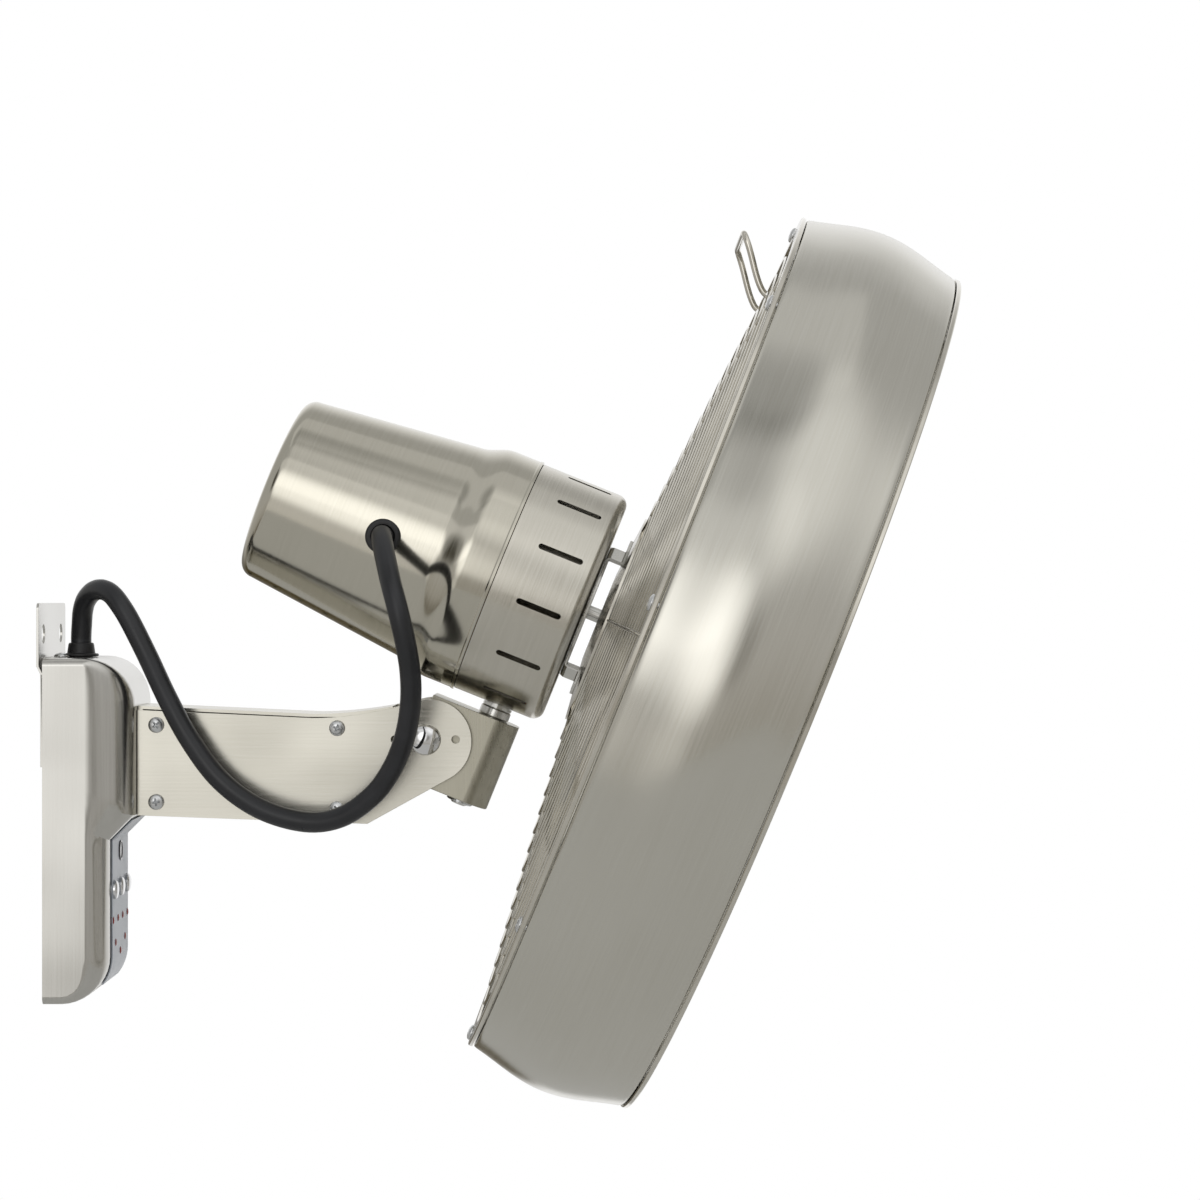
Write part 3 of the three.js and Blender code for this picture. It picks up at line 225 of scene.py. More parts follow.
def lofted(name: str, loops: list[list[Triple]]) -> Piece:
    """Skin a row of closed loops of as many points each, with both ends filled.

    Args:
        name: The object's name.
        loops: The loops.

    Returns:
        The skinned piece.
    """
    piece = wire(name, loops[0], True)
    bpy.ops.mesh.edge_face_add()
    for before, after in zip(loops, loops[1:]):
        bpy.ops.mesh.extrude_region_move()
        mesh = bmesh.from_edit_mesh(piece.data)
        moves = {tuple(round(value, 4) for value in old): new for old, new in zip(before, after)}
        for vert in mesh.verts:
            if vert.select:
                key = tuple(round(value / MM, 4) for value in vert.co)
                if key not in moves:
                    key = min(moves, key=lambda old: (Vector(old) - vert.co / MM).length)
                vert.co = Vector(moves[key]) * MM
        bmesh.update_edit_mesh(piece.data)
    close_up(0.0005)
    return piece


def modified(piece: Piece, kind: str, **fields: object) -> Piece:
    """Apply a modifier to the piece.

    Args:
        piece: The piece.
        kind: The modifier's type.
        **fields: The modifier's own fields.

    Returns:
        The piece.
    """
    take(piece)
    modifier = piece.modifiers.new("change", kind)
    for key, value in fields.items():
        setattr(modifier, key, value)
    bpy.ops.object.modifier_apply(modifier=modifier.name)
    return piece


def carved(piece: Piece, cutters: list[Piece], operation: str = "DIFFERENCE") -> Piece:
    """Cut the piece with others, which are used up.

    Args:
        piece: The piece that stays.
        cutters: The pieces that cut it.
        operation: DIFFERENCE or INTERSECT.

    Returns:
        The piece.
    """
    for cutter in cutters:
        modified(piece, "BOOLEAN", operation=operation, solver="EXACT", object=cutter)
        bpy.data.objects.remove(cutter)
    return cleaned(piece)


def softened(piece: Piece, width: float, segments: int = 2, angle: float = 50.0) -> Piece:
    """Round the piece's edges that are sharper than an angle in degrees."""
    return modified(piece, "BEVEL", width=width * MM, segments=segments, limit_method="ANGLE",
                    angle_limit=math.radians(angle))


def smoothed(piece: Piece, angle: float) -> Piece:
    """Shade the piece smooth where faces meet at less than an angle, with flat faces kept flat."""
    take(piece)
    bpy.ops.object.shade_smooth_by_angle(angle=math.radians(angle))
    return modified(piece, "WEIGHTED_NORMAL", keep_sharp=True)


def placed(piece: Piece, matrix: Matrix) -> Piece:
    """Put the piece somewhere by a matrix, which goes into its mesh.

    Args:
        piece: The piece.
        matrix: Where it goes.

    Returns:
        The piece.
    """
    take(piece)
    piece.matrix_world = matrix
    bpy.ops.object.transform_apply(location=True, rotation=True, scale=True)
    return piece


def copied(piece: Piece, name: str, matrix: Matrix) -> Piece:
    """Copy the piece with a mesh of its own, put somewhere by a matrix.

    Args:
        piece: The piece, which stays.
        name: The copy's name.
        matrix: Where the copy goes.

    Returns:
        The copy.
    """
    take(piece)
    bpy.ops.object.duplicate()
    bpy.context.object.name = name
    return placed(bpy.context.object, matrix)


def joined(name: str, pieces: list[Piece]) -> Piece:
    """Make several meshes one object.

    Args:
        name: The object's name.
        pieces: The meshes, which are used up.

    Returns:
        The object.
    """
    take(pieces[0])
    for piece in pieces[1:]:
        piece.select_set(True)
    bpy.ops.object.join()
    pieces[0].name = name
    return pieces[0]


def shift(x: float = 0.0, y: float = 0.0, z: float = 0.0) -> Matrix:
    """Give a move in millimetres."""
    return Matrix.Translation(Vector((x, y, z)) * MM)


def turn(degrees: float, axis: str) -> Matrix:
    """Give a turn about one of the axes X, Y and Z."""
    return Matrix.Rotation(math.radians(degrees), 4, axis)


def upright(piece: Piece, x: float = 0.0, y: float = 0.0, z: float = 0.0) -> Piece:
    """Stand a piece that was turned along +X up along +Z, from a place."""
    return placed(piece, shift(x, y, z) @ turn(-90, "Y"))


def sideways(piece: Piece, x: float = 0.0, y: float = 0.0, z: float = 0.0) -> Piece:
    """Lay a piece that was turned along +X along +Y, from a place."""
    return placed(piece, shift(x, y, z) @ turn(90, "Z"))


def arc(centre: Pair, radius: float, start: float, end: float, steps: int) -> list[Pair]:
    """Give the points on an arc between two angles in degrees, both ends included."""
    angles = [math.radians(start + (end - start) * step / steps) for step in range(steps + 1)]
    return [(centre[0] + radius * math.cos(a), centre[1] + radius * math.sin(a)) for a in angles]


def dome(tip: float, depth: float, radius: float, angles: range | tuple[int, ...]) -> list[Pair]:
    """Give a dome's outline from its tip on the axis, at angles in degrees from it."""
    turns = [math.radians(angle) for angle in angles]
    return [(tip + depth * (1 - math.cos(a)), radius * math.sin(a)) for a in turns]


def bent_wire(name: str, points: list[Triple], radius: float) -> Piece:
    """Bend a round wire along a smooth line and make it a mesh.

    Args:
        name: The object's name.
        points: Places that the line is drawn to.
        radius: The wire's radius.

    Returns:
        The wire's mesh.
    """
    clear_bench()
    curve = bpy.data.curves.new(name, "CURVE")
    curve.dimensions = "3D"
    curve.bevel_depth = radius * MM
    curve.bevel_resolution = 4
    curve.resolution_u = 5
    curve.use_fill_caps = True
    spline = curve.splines.new("NURBS")
    spline.points.add(len(points) - 1)
    for knot, point in zip(spline.points, points):
        knot.co = (*(Vector(point) * MM), 1.0)
    spline.use_endpoint_u = True
    spline.order_u = 4
    piece = bpy.data.objects.new(name, curve)
    bpy.context.scene.collection.objects.link(piece)
    take(piece)
    bpy.ops.object.convert(target="MESH")
    return cleaned(bpy.context.object)


# ------------------------------------------------------------------ finishes


class Grain(Enum):
    """The way that a brushed surface's fine lines run, as the noise's scale along X, Y and Z."""

    UPRIGHT = (900.0, 900.0, 14.0)
    ALONG_ARM = (14.0, 900.0, 900.0)
    ROUND_AXIS = (1000.0, 16.0, 16.0)


class Wiring:
    """A node tree, wired up step by step."""

    def __init__(self, owner: bpy.types.Material | bpy.types.World) -> None:
        """Take the node tree of a material or a world."""
        owner.use_nodes = True
        self.tree = owner.node_tree

    def join(self, source: Socket, target: Socket) -> None:
        """Link two sockets."""
        self.tree.links.new(source, target)

    def wired(self, kind: str, out: str, inputs: dict, **fields: object) -> Socket:
        """Add a node, set its fields, and link or set its inputs.

        Args:
            kind: The node's type.
            out: The output that is given back.
            inputs: Sockets and values by the input's name or number.
            **fields: The node's own fields.

        Returns:
            The output's socket.
        """
        node = self.tree.nodes.new(f"ShaderNode{kind}")
        for key, value in fields.items():
            setattr(node, key, value)
        for key, value in inputs.items():
            if isinstance(value, Socket):
                self.join(value, node.inputs[key])
            else:
                node.inputs[key].default_value = value
        return node.outputs[out]

    def ramp(self, factor: Socket, colours: tuple[Triple, ...], start: float = 0.0,
             end: float = 1.0) -> Socket:
        """Spread colours evenly over a factor.

        Args:
            factor: The factor.
            colours: The colours.
            start: The factor at the first colour.
            end: The factor at the last one.

        Returns:
            The colour's socket.
        """
        colour = self.wired("ValToRGB", "Color", {"Fac": factor})
        elements = colour.node.color_ramp.elements
        while len(elements) < len(colours):
            elements.new(0.5)
        for index, tone in enumerate(colours):
            elements[index].position = start + (end - start) * index / (len(colours) - 1)
            elements[index].color = (*tone, 1)
        return colour


class Paint(Wiring):
    """A material's node tree."""

    def __init__(self, name: str, **constants: object) -> None:
        """Start a material with its shader.

        Args:
            name: The material's name.
            **constants: Values of the shader's own inputs, with spaces as underscores.
        """
        self.material = bpy.data.materials.new(name)
        super().__init__(self.material)
        self.inputs = self.tree.nodes["Principled BSDF"].inputs
        for key, value in constants.items():
            self.inputs[key.replace("_", " ")].default_value = value

    def noise(self, scale: Triple, detail: float, rotation: Triple = (0, 0, 0),
              roughness: float = 0.5) -> Socket:
        """Add noise on the object's own coordinates.

        Args:
            scale: Cycles per metre along the three axes.
            detail: The noise's octaves.
            rotation: How the axes are turned, in radians.
            roughness: How strong the finer octaves are.

        Returns:
            The noise's value socket.
        """
        place = self.wired("TexCoord", "Object", {})
        place = self.wired("Mapping", "Vector", {"Rotation": rotation, "Vector": place},
                           vector_type="TEXTURE")
        place = self.wired("VectorMath", "Vector", {0: place, 1: scale}, operation="MULTIPLY")
        return self.wired("TexNoise", "Fac", {"Vector": place, "Scale": 1.0, "Detail": detail,
                                              "Roughness": roughness})

    def ranged(self, value: Socket, low: float, high: float, start: float = 0.3,
               end: float = 0.7) -> Socket:
        """Stretch a value so that start becomes low and end becomes high."""
        return self.wired("MapRange", "Result", {
            "Value": value, "From Min": start, "From Max": end, "To Min": low, "To Max": high})

    def tint(self, factor: Socket, first: Triple, second: Triple) -> None:
        """Let the shader's colour run between two colours by a factor."""
        self.join(self.ramp(factor, (first, second), 0.3, 0.7), self.inputs["Base Color"])

    def cover(self, factor: Socket, first: Triple, second: Triple, roughness: Pair) -> None:
        """Let the shader's colour and roughness run between two values each by a factor."""
        self.tint(factor, first, second)
        self.join(self.ranged(factor, *roughness), self.inputs["Roughness"])

    def bump(self, height: Socket, distance: float, strength: float = 1.0) -> None:
        """Press a height into the surface, on top of any height pressed in before.

        Args:
            height: The height's socket.
            distance: How far, in millimetres, a height of 1 stands out.
            strength: How much of it shows.
        """
        inputs = {"Distance": distance * MM, "Strength": strength, "Height": height}
        normal = self.inputs["Normal"]
        if normal.is_linked:
            inputs["Normal"] = normal.links[0].from_socket
        self.join(self.wired("Bump", "Normal", inputs), normal)


class Room(Wiring):
    """The world's node tree, painted by the direction that a ray leaves in."""

    def __init__(self, name: str) -> None:
        """Start an empty world with a name."""
        bpy.context.scene.world = bpy.data.worlds.new(name)
        super().__init__(bpy.context.scene.world)
        self.tree.nodes.clear()

    def component(self, vector: Socket, axis: str) -> Socket:
        """Give one of a vector's components."""
        return self.wired("SeparateXYZ", axis, {"Vector": vector})

    def dot(self, vector: Socket, other: Vector) -> Socket:
        """Give the cosine between a vector and a direction."""
        return self.wired("VectorMath", "Value", {0: vector, 1: other}, operation="DOT_PRODUCT")

    def smooth(self, value: Socket, start: float, end: float) -> Socket:
        """Turn a value into 0 at start and 1 at end, with soft ends."""
        return self.wired("MapRange", "Result", {
            "Value": value, "From Min": start, "From Max": end}, interpolation_type="SMOOTHSTEP")

    def times(self, first: Socket, second: Socket) -> Socket:
        """Multiply two values."""
        return self.wired("Math", "Value", {0: first, 1: second}, operation="MULTIPLY")

    def either(self, first: Socket, second: Socket) -> Socket:
        """Give the larger of two values."""
        return self.wired("Math", "Value", {0: first, 1: second}, operation="MAXIMUM")

    def add(self, colour: Socket, amount: Socket, gain: float) -> Socket:
        """Make a colour lighter or darker by an amount times a gain."""
        return self.wired("VectorMath", "Vector", {0: amount, 1: (gain,) * 3, 2: colour},
                          operation="MULTIPLY_ADD")

    def finish(self, colour: Socket, white: Socket) -> None:
        """Send the colour out, turned to white by a share.

        Args:
            colour: The room's colour.
            white: The share of white.
        """
        mix = self.wired("MixRGB", "Color", {
            "Fac": white, "Color1": colour, "Color2": (1, 1, 1, 1)})
        shade = self.wired("Background", "Background", {"Color": mix})
        self.join(shade, self.tree.nodes.new("ShaderNodeOutputWorld").inputs["Surface"])


@dataclass(frozen=True)
class BrushedSteel:
    """Stainless sheet with fine lines one way and soft cloudy patches."""

    name: str
    light: Triple
    dark: Triple
    roughness: Pair = (0.24, 0.34)
    grain: Grain = Grain.UPRIGHT
    turned: Triple = (0.0, 0.0, 0.0)
    groove: float = 0.012
    wave: float = 0.6

    def material(self) -> bpy.types.Material:
        """Make the finish.

        Returns:
            The material.
        """
        paint = Paint(self.name, Metallic=1.0)
        lines = paint.noise(self.grain.value, 3.0, self.turned, 0.6)
        clouds = paint.ranged(paint.noise((7.0,) * 3, 3.0), 0.0, 0.45, 0.0, 1.0)
        mixed = paint.wired("Math", "Value", {0: lines, 1: 0.55, 2: clouds},
                            operation="MULTIPLY_ADD")
        paint.cover(mixed, self.dark, self.light, self.roughness)
        paint.bump(paint.noise((11.0,) * 3, 1.0), self.wave)
        paint.bump(lines, self.groove, 0.6)
        return paint.material


@dataclass(frozen=True)
class PolishedMetal:
    """Plated or bright metal with faint smears."""

    name: str
    colour: Triple = (0.83, 0.83, 0.84)
    roughness: Pair = (0.05, 0.14)
    tint: float = 0.9
    ripple: float = 0.01

    def material(self) -> bpy.types.Material:
        """Make the finish.

        Returns:
            The material.
        """
        paint = Paint(self.name, Metallic=1.0)
        darker = tuple(value * self.tint for value in self.colour)
        paint.cover(paint.noise((60.0,) * 3, 4.0), darker, self.colour, self.roughness)
        paint.bump(paint.noise((700.0,) * 3, 2.0), self.ripple, 0.4)
        return paint.material


@dataclass(frozen=True)
class Moulded:
    """Rubber, plastic, varnish or another coat with a fine grain and slight mottling."""

    name: str
    colour: Triple
    second: Triple
    roughness: Pair
    grain: float = 900.0
    relief: float = 0.03
    metallic: float = 0.0
    coat: float = 0.0

    def material(self) -> bpy.types.Material:
        """Make the finish.

        Returns:
            The material.
        """
        paint = Paint(self.name, Metallic=self.metallic, Coat_Weight=self.coat)
        paint.cover(paint.noise((45.0,) * 3, 4.0), self.colour, self.second, self.roughness)
        paint.bump(paint.noise((self.grain,) * 3, 2.0), self.relief, 0.5)
        return paint.material


@dataclass(frozen=True)
class LampLens:
    """Clear coloured plastic that is lit a little from behind."""

    name: str
    colour: Triple = (0.22, 0.010, 0.008)
    glow: Triple = (0.8, 0.05, 0.04)
    depth: float = 0.55  # how dark the darkest parts are against the colour

    def material(self) -> bpy.types.Material:
        """Make the finish.

        Returns:
            The material.
        """
        paint = Paint(self.name, Roughness=0.25, Coat_Weight=0.4, Emission_Strength=0.05,
                      Emission_Color=(*self.glow, 1.0))
        deep = tuple(value * self.depth for value in self.colour)
        paint.tint(paint.noise((300.0,) * 3, 2.0), deep, self.colour)
        return paint.material


@dataclass
class Shop:
    """Keeps the finishes and the frame, and hands over each finished piece."""

    frame: dict
    finishes: dict[str, bpy.types.Material] = field(default_factory=dict)
    tilt: Matrix = field(default_factory=Matrix)
    head: Matrix = field(default_factory=Matrix)
    pin: float = 0.0
    rise: float = 0.0

    def __post_init__(self) -> None:
        """Find the axes of the tilting bracket and the head, and mix the finishes."""
        joints = {joint["name"]: joint for joint in self.frame["joints"]}
        along = Vector(joints["blade_spin"]["axis"]).normalized()
        up = Vector(joints["swivel"]["axis"]).normalized()
        basis = Matrix((along, up.cross(along), up)).transposed().to_4x4()
        pivot = Vector(joints["tilt"]["pos_m"])
        hub = Vector(joints["blade_spin"]["pos_m"])
        self.tilt = Matrix.Translation(pivot) @ basis
        self.head = Matrix.Translation(hub) @ basis
        self.pin = (Vector(joints["swivel"]["pos_m"]) - pivot).dot(along) / MM
        self.rise = (hub - pivot).dot(up) / MM
        lean = {"grain": Grain.ROUND_AXIS, "turned": (0.0, math.atan2(-along.z, along.x), 0.0)}
        recipes = (
            BrushedSteel("box_steel", (0.64, 0.63, 0.60), (0.54, 0.53, 0.50), (0.14, 0.24),
                         wave=2.0),
            # The knuckle's finish is darker than the arm's, partly for its duller as-bent steel and
            # partly as painted shade for the shadow it sits in between the ears.
            BrushedSteel("knuckle_steel_and_shade", (0.52, 0.50, 0.42), (0.42, 0.40, 0.33)),
            BrushedSteel("arm_steel", (0.74, 0.72, 0.65), (0.62, 0.60, 0.53), (0.18, 0.28),
                         Grain.ALONG_ARM, wave=3.0),
            BrushedSteel("drum_steel", (0.67, 0.655, 0.60), (0.61, 0.59, 0.53), (0.15, 0.23),
                         groove=0.006, wave=2.0, **lean),
            BrushedSteel("cup_steel", (0.61, 0.585, 0.51), (0.54, 0.515, 0.44), (0.10, 0.17),
                         groove=0.004, wave=0.1, **lean),
            BrushedSteel("ring_steel", (0.69, 0.665, 0.60), (0.56, 0.535, 0.47), (0.18, 0.28),
                         **lean),
            PolishedMetal("wire_steel", (0.72, 0.69, 0.62), (0.08, 0.16)),
            PolishedMetal("pin_steel", (0.70, 0.69, 0.66), (0.16, 0.28)),
            PolishedMetal("chrome", roughness=(0.03, 0.09)),
            PolishedMetal("zinc", (0.72, 0.73, 0.74), (0.2, 0.34)),
            PolishedMetal("cast_aluminium", (0.70, 0.71, 0.72), (0.34, 0.46), ripple=0.05),
            PolishedMetal("blade_aluminium", (0.74, 0.75, 0.76), (0.26, 0.4)),
            Moulded("cord_rubber", (0.012, 0.013, 0.016), (0.022, 0.023, 0.028), (0.30, 0.42),
                    500.0, 0.012),
            Moulded("gland_rubber", (0.010, 0.010, 0.011), (0.02, 0.02, 0.022), (0.35, 0.5)),
            Moulded("overlay", (0.36, 0.40, 0.46), (0.42, 0.46, 0.52), (0.34, 0.46), 1200.0, 0.01,
                    coat=0.2),
            Moulded("smoked_window", (0.06, 0.055, 0.06), (0.1, 0.09, 0.1), (0.12, 0.2), coat=0.8),
            Moulded("black_plastic", (0.012, 0.012, 0.013), (0.03, 0.03, 0.032), (0.4, 0.6)),
            Moulded("board_green", (0.02, 0.10, 0.045), (0.035, 0.15, 0.07), (0.3, 0.5), coat=0.4),
            Moulded("copper_wire", (0.36, 0.13, 0.05), (0.5, 0.2, 0.09), (0.35, 0.5), 1500.0, 0.08,
                    metallic=1.0),
            Moulded("core_laminations", (0.10, 0.10, 0.105), (0.17, 0.17, 0.175), (0.5, 0.7),
                    1500.0, 0.05, metallic=1.0),
            LampLens("lamp_lens"),
        )
        self.finishes = {recipe.name: recipe.material() for recipe in recipes}

    def keep(self, piece: Piece, body: str, finish: str, node: str = "", smooth: float = 32.0) -> None:
        """Dress a finished piece and let it ride on its body.

        Args:
            piece: The finished piece.
            body: The body that carries it.
            finish: The finish's name.
            node: The node of the model that it replaces, if any.
            smooth: The angle for smooth shading.
        """
        smoothed(piece, smooth)
        clear_bench()
        piece.data.materials.clear()
        piece.data.materials.append(self.finishes[finish])
        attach(piece, body)
        if node:
            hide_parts(node)
        LOG.info("%s rides on %s in %s", piece.name, body, finish)

    def keep_copies(self, piece: Piece, places: list[Matrix], name: str, body: str, finish: str,
                    node: str) -> None:
        """Keep a copy of a piece at each place and use the piece up.

        Args:
            piece: The piece.
            places: Where its copies go.
            name: The copies' name, with {} for their number from 1.
            body: The body, with {} where each copy has its own.
            finish: The finish's name.
            node: The nodes that they replace, with {} for the number.
        """
        for index, place in enumerate(places, 1):
            copy = copied(piece, name.format(index), place)
            self.keep(copy, body.format(index), finish, node.format(index))
        bpy.data.objects.remove(piece)

    def dress(self, finish: str, *nodes: str) -> None:
        """Give nodes of the model that stay in view a finish.

        Args:
            finish: The finish's name.
            *nodes: The nodes.
        """
        for node in nodes:
            mesh = self.frame["nodes"][node].data
            mesh.materials.clear()
            mesh.materials.append(self.finishes[finish])
            LOG.info("%s keeps its solid in %s", node, finish)


# ------------------------------------------------------------------ camera, light and floor


@dataclass(frozen=True)
class Glow:
    """A soft patch of the room that is lighter or darker than the rest."""

    azimuth: float  # degrees, 0 along +X and -90 behind the camera
    elevation: float
    spread: float  # degrees from its middle to where it has half its strength
    gain: float

    def direction(self) -> Vector:
        """Give the direction of the patch's middle."""
        azimuth, elevation = math.radians(self.azimuth), math.radians(self.elevation)
        flat = math.cos(elevation)
        return Vector((flat * math.cos(azimuth), flat * math.sin(azimuth), math.sin(elevation)))


@dataclass
class Studio:
    """The camera straight from the side, a soft room with two lamps, and a pale floor."""

    aim: Triple = (352.0, 0.0, 21.4)
    distance: float = 2086.0
    frame_width: float = 768.0
    sensor: float = 36.0
    floor_drop: float = 1100.0
    floor_y: float = -600.0
    floor_size: float = 4400.0
    room: tuple[Triple, ...] = ((0.34, 0.318, 0.275), (0.52, 0.51, 0.49), (0.50, 0.50, 0.49))
    glows: tuple[Glow, ...] = (
        Glow(-103, 9, 14, 1.0),
        Glow(-80, 29, 13, 0.18),
        Glow(-54, 44, 22, 0.40),
        Glow(-88, 73, 11, -0.26),
        Glow(-133, 22, 10, -0.45),
        Glow(-117, -18, 9, 0.28),
        Glow(-160, -46, 20, -0.30),
        Glow(106, -14, 18, -0.30),
        Glow(140, -42, 20, -0.22),
        Glow(-86, 5, 9, -0.26),
    )
    room_reach: float = 0.9  # the sine of the heights where the room's outer colours begin
    glow_edge: Pair = (0.4, 1.6)  # shares of a patch's spread where it is full and gone
    drop: Triple = (1.0, 0.0, -0.35)  # across the backdrop's lower edge
    drop_edge: Pair = (-0.06, 0.04)
    wall_edge: Pair = (-0.02, 0.12)
    wall_side: Pair = (0.5, 0.95)
    key: float = 2.5
    top: float = 1.5

    def camera(self) -> None:
        """Set up the camera at the photograph's view."""
        data = bpy.data.cameras.new("camera")
        data.sensor_width = self.sensor
        data.lens = self.sensor * self.distance / self.frame_width
        data.clip_end = 50
        camera = bpy.data.objects.new("camera", data)
        bpy.context.scene.collection.objects.link(camera)
        camera.location = Vector((self.aim[0], -self.distance, self.aim[2])) * MM
        camera.rotation_euler = (math.radians(90), 0, 0)
        bpy.context.scene.camera = camera

    def lamp(self, name: str, place: Triple, size: Pair, watts: float) -> None:
        """Hang a soft lamp that faces the fan.

        Args:
            name: The lamp's name.
            place: Where it hangs.
            size: Its width and height.
            watts: Its power.
        """
        data = bpy.data.lights.new(name, "AREA")
        data.shape = "RECTANGLE"
        data.size = size[0] * MM
        data.size_y = size[1] * MM
        data.energy = watts
        light = bpy.data.objects.new(name, data)
        bpy.context.scene.collection.objects.link(light)
        light.location = Vector(place) * MM
        toward = Vector(self.aim) * MM - light.location
        light.rotation_euler = toward.to_track_quat("-Z", "Y").to_euler()

    def world(self) -> None:
        """Paint the room, and make what lies behind the fan white to the camera and to metal."""
        paint = Room("room")
        facing = paint.wired("TexCoord", "Generated", {})
        height = paint.component(facing, "Z")
        colour = paint.ramp(paint.smooth(height, -self.room_reach, self.room_reach), self.room)
        for glow in self.glows:
            part = paint.dot(facing, glow.direction())
            inner, outer = (math.cos(math.radians(glow.spread * edge)) for edge in self.glow_edge)
            colour = paint.add(colour, paint.smooth(part, outer, inner), glow.gain)
        below = paint.smooth(paint.dot(facing, Vector(self.drop)), *self.drop_edge)
        part = paint.either(below, paint.smooth(height, *self.wall_edge))
        side = paint.smooth(paint.component(facing, "Y"), *self.wall_side)
        behind = paint.times(side, part)
        seen = paint.wired("LightPath", "Is Camera Ray", {})
        rays = seen.node.outputs
        mirrored = paint.either(rays["Is Glossy Ray"], rays["Is Transmission Ray"])
        paint.finish(colour, paint.either(seen, paint.times(behind, mirrored)))

    def floor(self) -> None:
        """Lay the pale floor below the fan."""
        clear_bench()
        bpy.ops.mesh.primitive_grid_add(
            x_subdivisions=8, y_subdivisions=8, size=self.floor_size * MM,
            location=Vector((self.aim[0], self.floor_y, -self.floor_drop)) * MM)
        floor = bpy.context.object
        floor.name = "floor"
        recipe = Moulded("floor_paper", (0.80, 0.80, 0.79), (0.82, 0.82, 0.81), (0.85, 0.95), 60.0)
        floor.data.materials.append(recipe.material())

    def build(self) -> None:
        """Set up all of the studio."""
        bpy.context.scene.view_settings.view_transform = "Standard"
        self.camera()
        self.world()
        self.floor()
        self.lamp("key", (-700, -2400, 1300), (1800, 1800), self.key)
        self.lamp("top", (400, -200, 2100), (2200, 1400), self.top)
        LOG.info("studio ready")


# ------------------------------------------------------------------ supply cord


@dataclass
class SupplyCord:
    """The black cord from the box gland round the arm to the motor, in two stretches."""

    diameter: float = 13.0
    sides: int = 20
    steps: int = 8  # between two points of the route
    split: int = 15  # the route's point at the loop's lowest place
    route: tuple[Triple, ...] = (
        (GLAND_X, 0, -6.9), (GLAND_X, 0, -1.7), (20.7, -2, 6), (22.0, -6, 14.5),
        (25.0, -12, 21.5), (30.8, -20, 26.8), (37.6, -28, 28), (44.6, -34.5, 25),
        (51.3, -38.8, 17.3), (58.0, -41, 6.5), (69.0, -43, -15), (81.0, -45, -40),
        (95.5, -48, -66), (115.0, -52, -91), (140.5, -58, -108.5), (169.0, -63, -116.3),
        (191.6, -68, -113), (211.3, -74, -99.5), (224.0, -81, -82.5), (232.3, -90, -63),
        (236.5, -100, -42), (236.8, -109, -22), (234.1, -116, -3), (230.0, -117.5, 15),
        (225.4, -112, 31.5), (221.6, -101.5, 45.5), (218.9, -90, 55.5), (217.6, -79.0, 60.8),
        (217.6, -72.6, 60.8),
    )

    def smooth_line(self) -> list[Vector]:
        """Give the smooth line through the route's points.

        Returns:
            Points along the line.
        """
        knots = [Vector(point) for point in self.route]
        knots = [knots[0] * 2 - knots[1], *knots, knots[-1] * 2 - knots[-2]]
        line = []
        for index in range(1, len(self.route)):
            before, start, end, after = knots[index - 1:index + 3]
            lead = (end - before) * 0.5
            trail = (after - start) * 0.5
            for step in range(self.steps):
                t = step / self.steps
                line.append(start * (2 * t ** 3 - 3 * t ** 2 + 1) + lead * (t ** 3 - 2 * t ** 2 + t)
                            + end * (-2 * t ** 3 + 3 * t ** 2) + trail * (t ** 3 - t ** 2))
        return [*line, knots[-2]]

    def stretch(self, name: str, line: list[Vector]) -> Piece:
        """Loft a round cord along a line.

        Args:
            name: The object's name.
            line: The centreline.

        Returns:
            The cord's mesh.
        """
        loops = []
        ways = [(b - a).normalized() for a, b in zip(line, line[1:])]
        ways = [ways[0]] + [(a + b).normalized() for a, b in zip(ways, ways[1:])] + [ways[-1]]
        side = ways[0].orthogonal().normalized()
        for point, way in zip(line, ways):
            side = (side - way * side.dot(way)).normalized()
            other = way.cross(side)
            ring = []
            for step in range(self.sides):
                angle = math.tau * step / self.sides
                out = side * math.cos(angle) + other * math.sin(angle)
                ring.append(tuple(point + out * self.diameter / 2))
            loops.append(ring)
        return lofted(name, loops)

    def build(self, shop: Shop) -> None:
        """Lay the cord.

        Args:
            shop: Where the pieces are kept.
        """
        whole = self.smooth_line()
        middle = self.split * self.steps
        spans = (
            ("lower_cord", whole[:middle + 1], "cord_lower", "wall_unit", "tilt_bracket"),
            ("upper_cord", whole[middle:], "cord_upper", "tilt_bracket", "head"),
        )
        for name, line, node, first, second in spans:
            piece = self.stretch(name, line)
            shop.keep(piece, second, "cord_rubber", node, 60)
            piece.parent = None
            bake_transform(piece)


# ------------------------------------------------------------------ wall plate


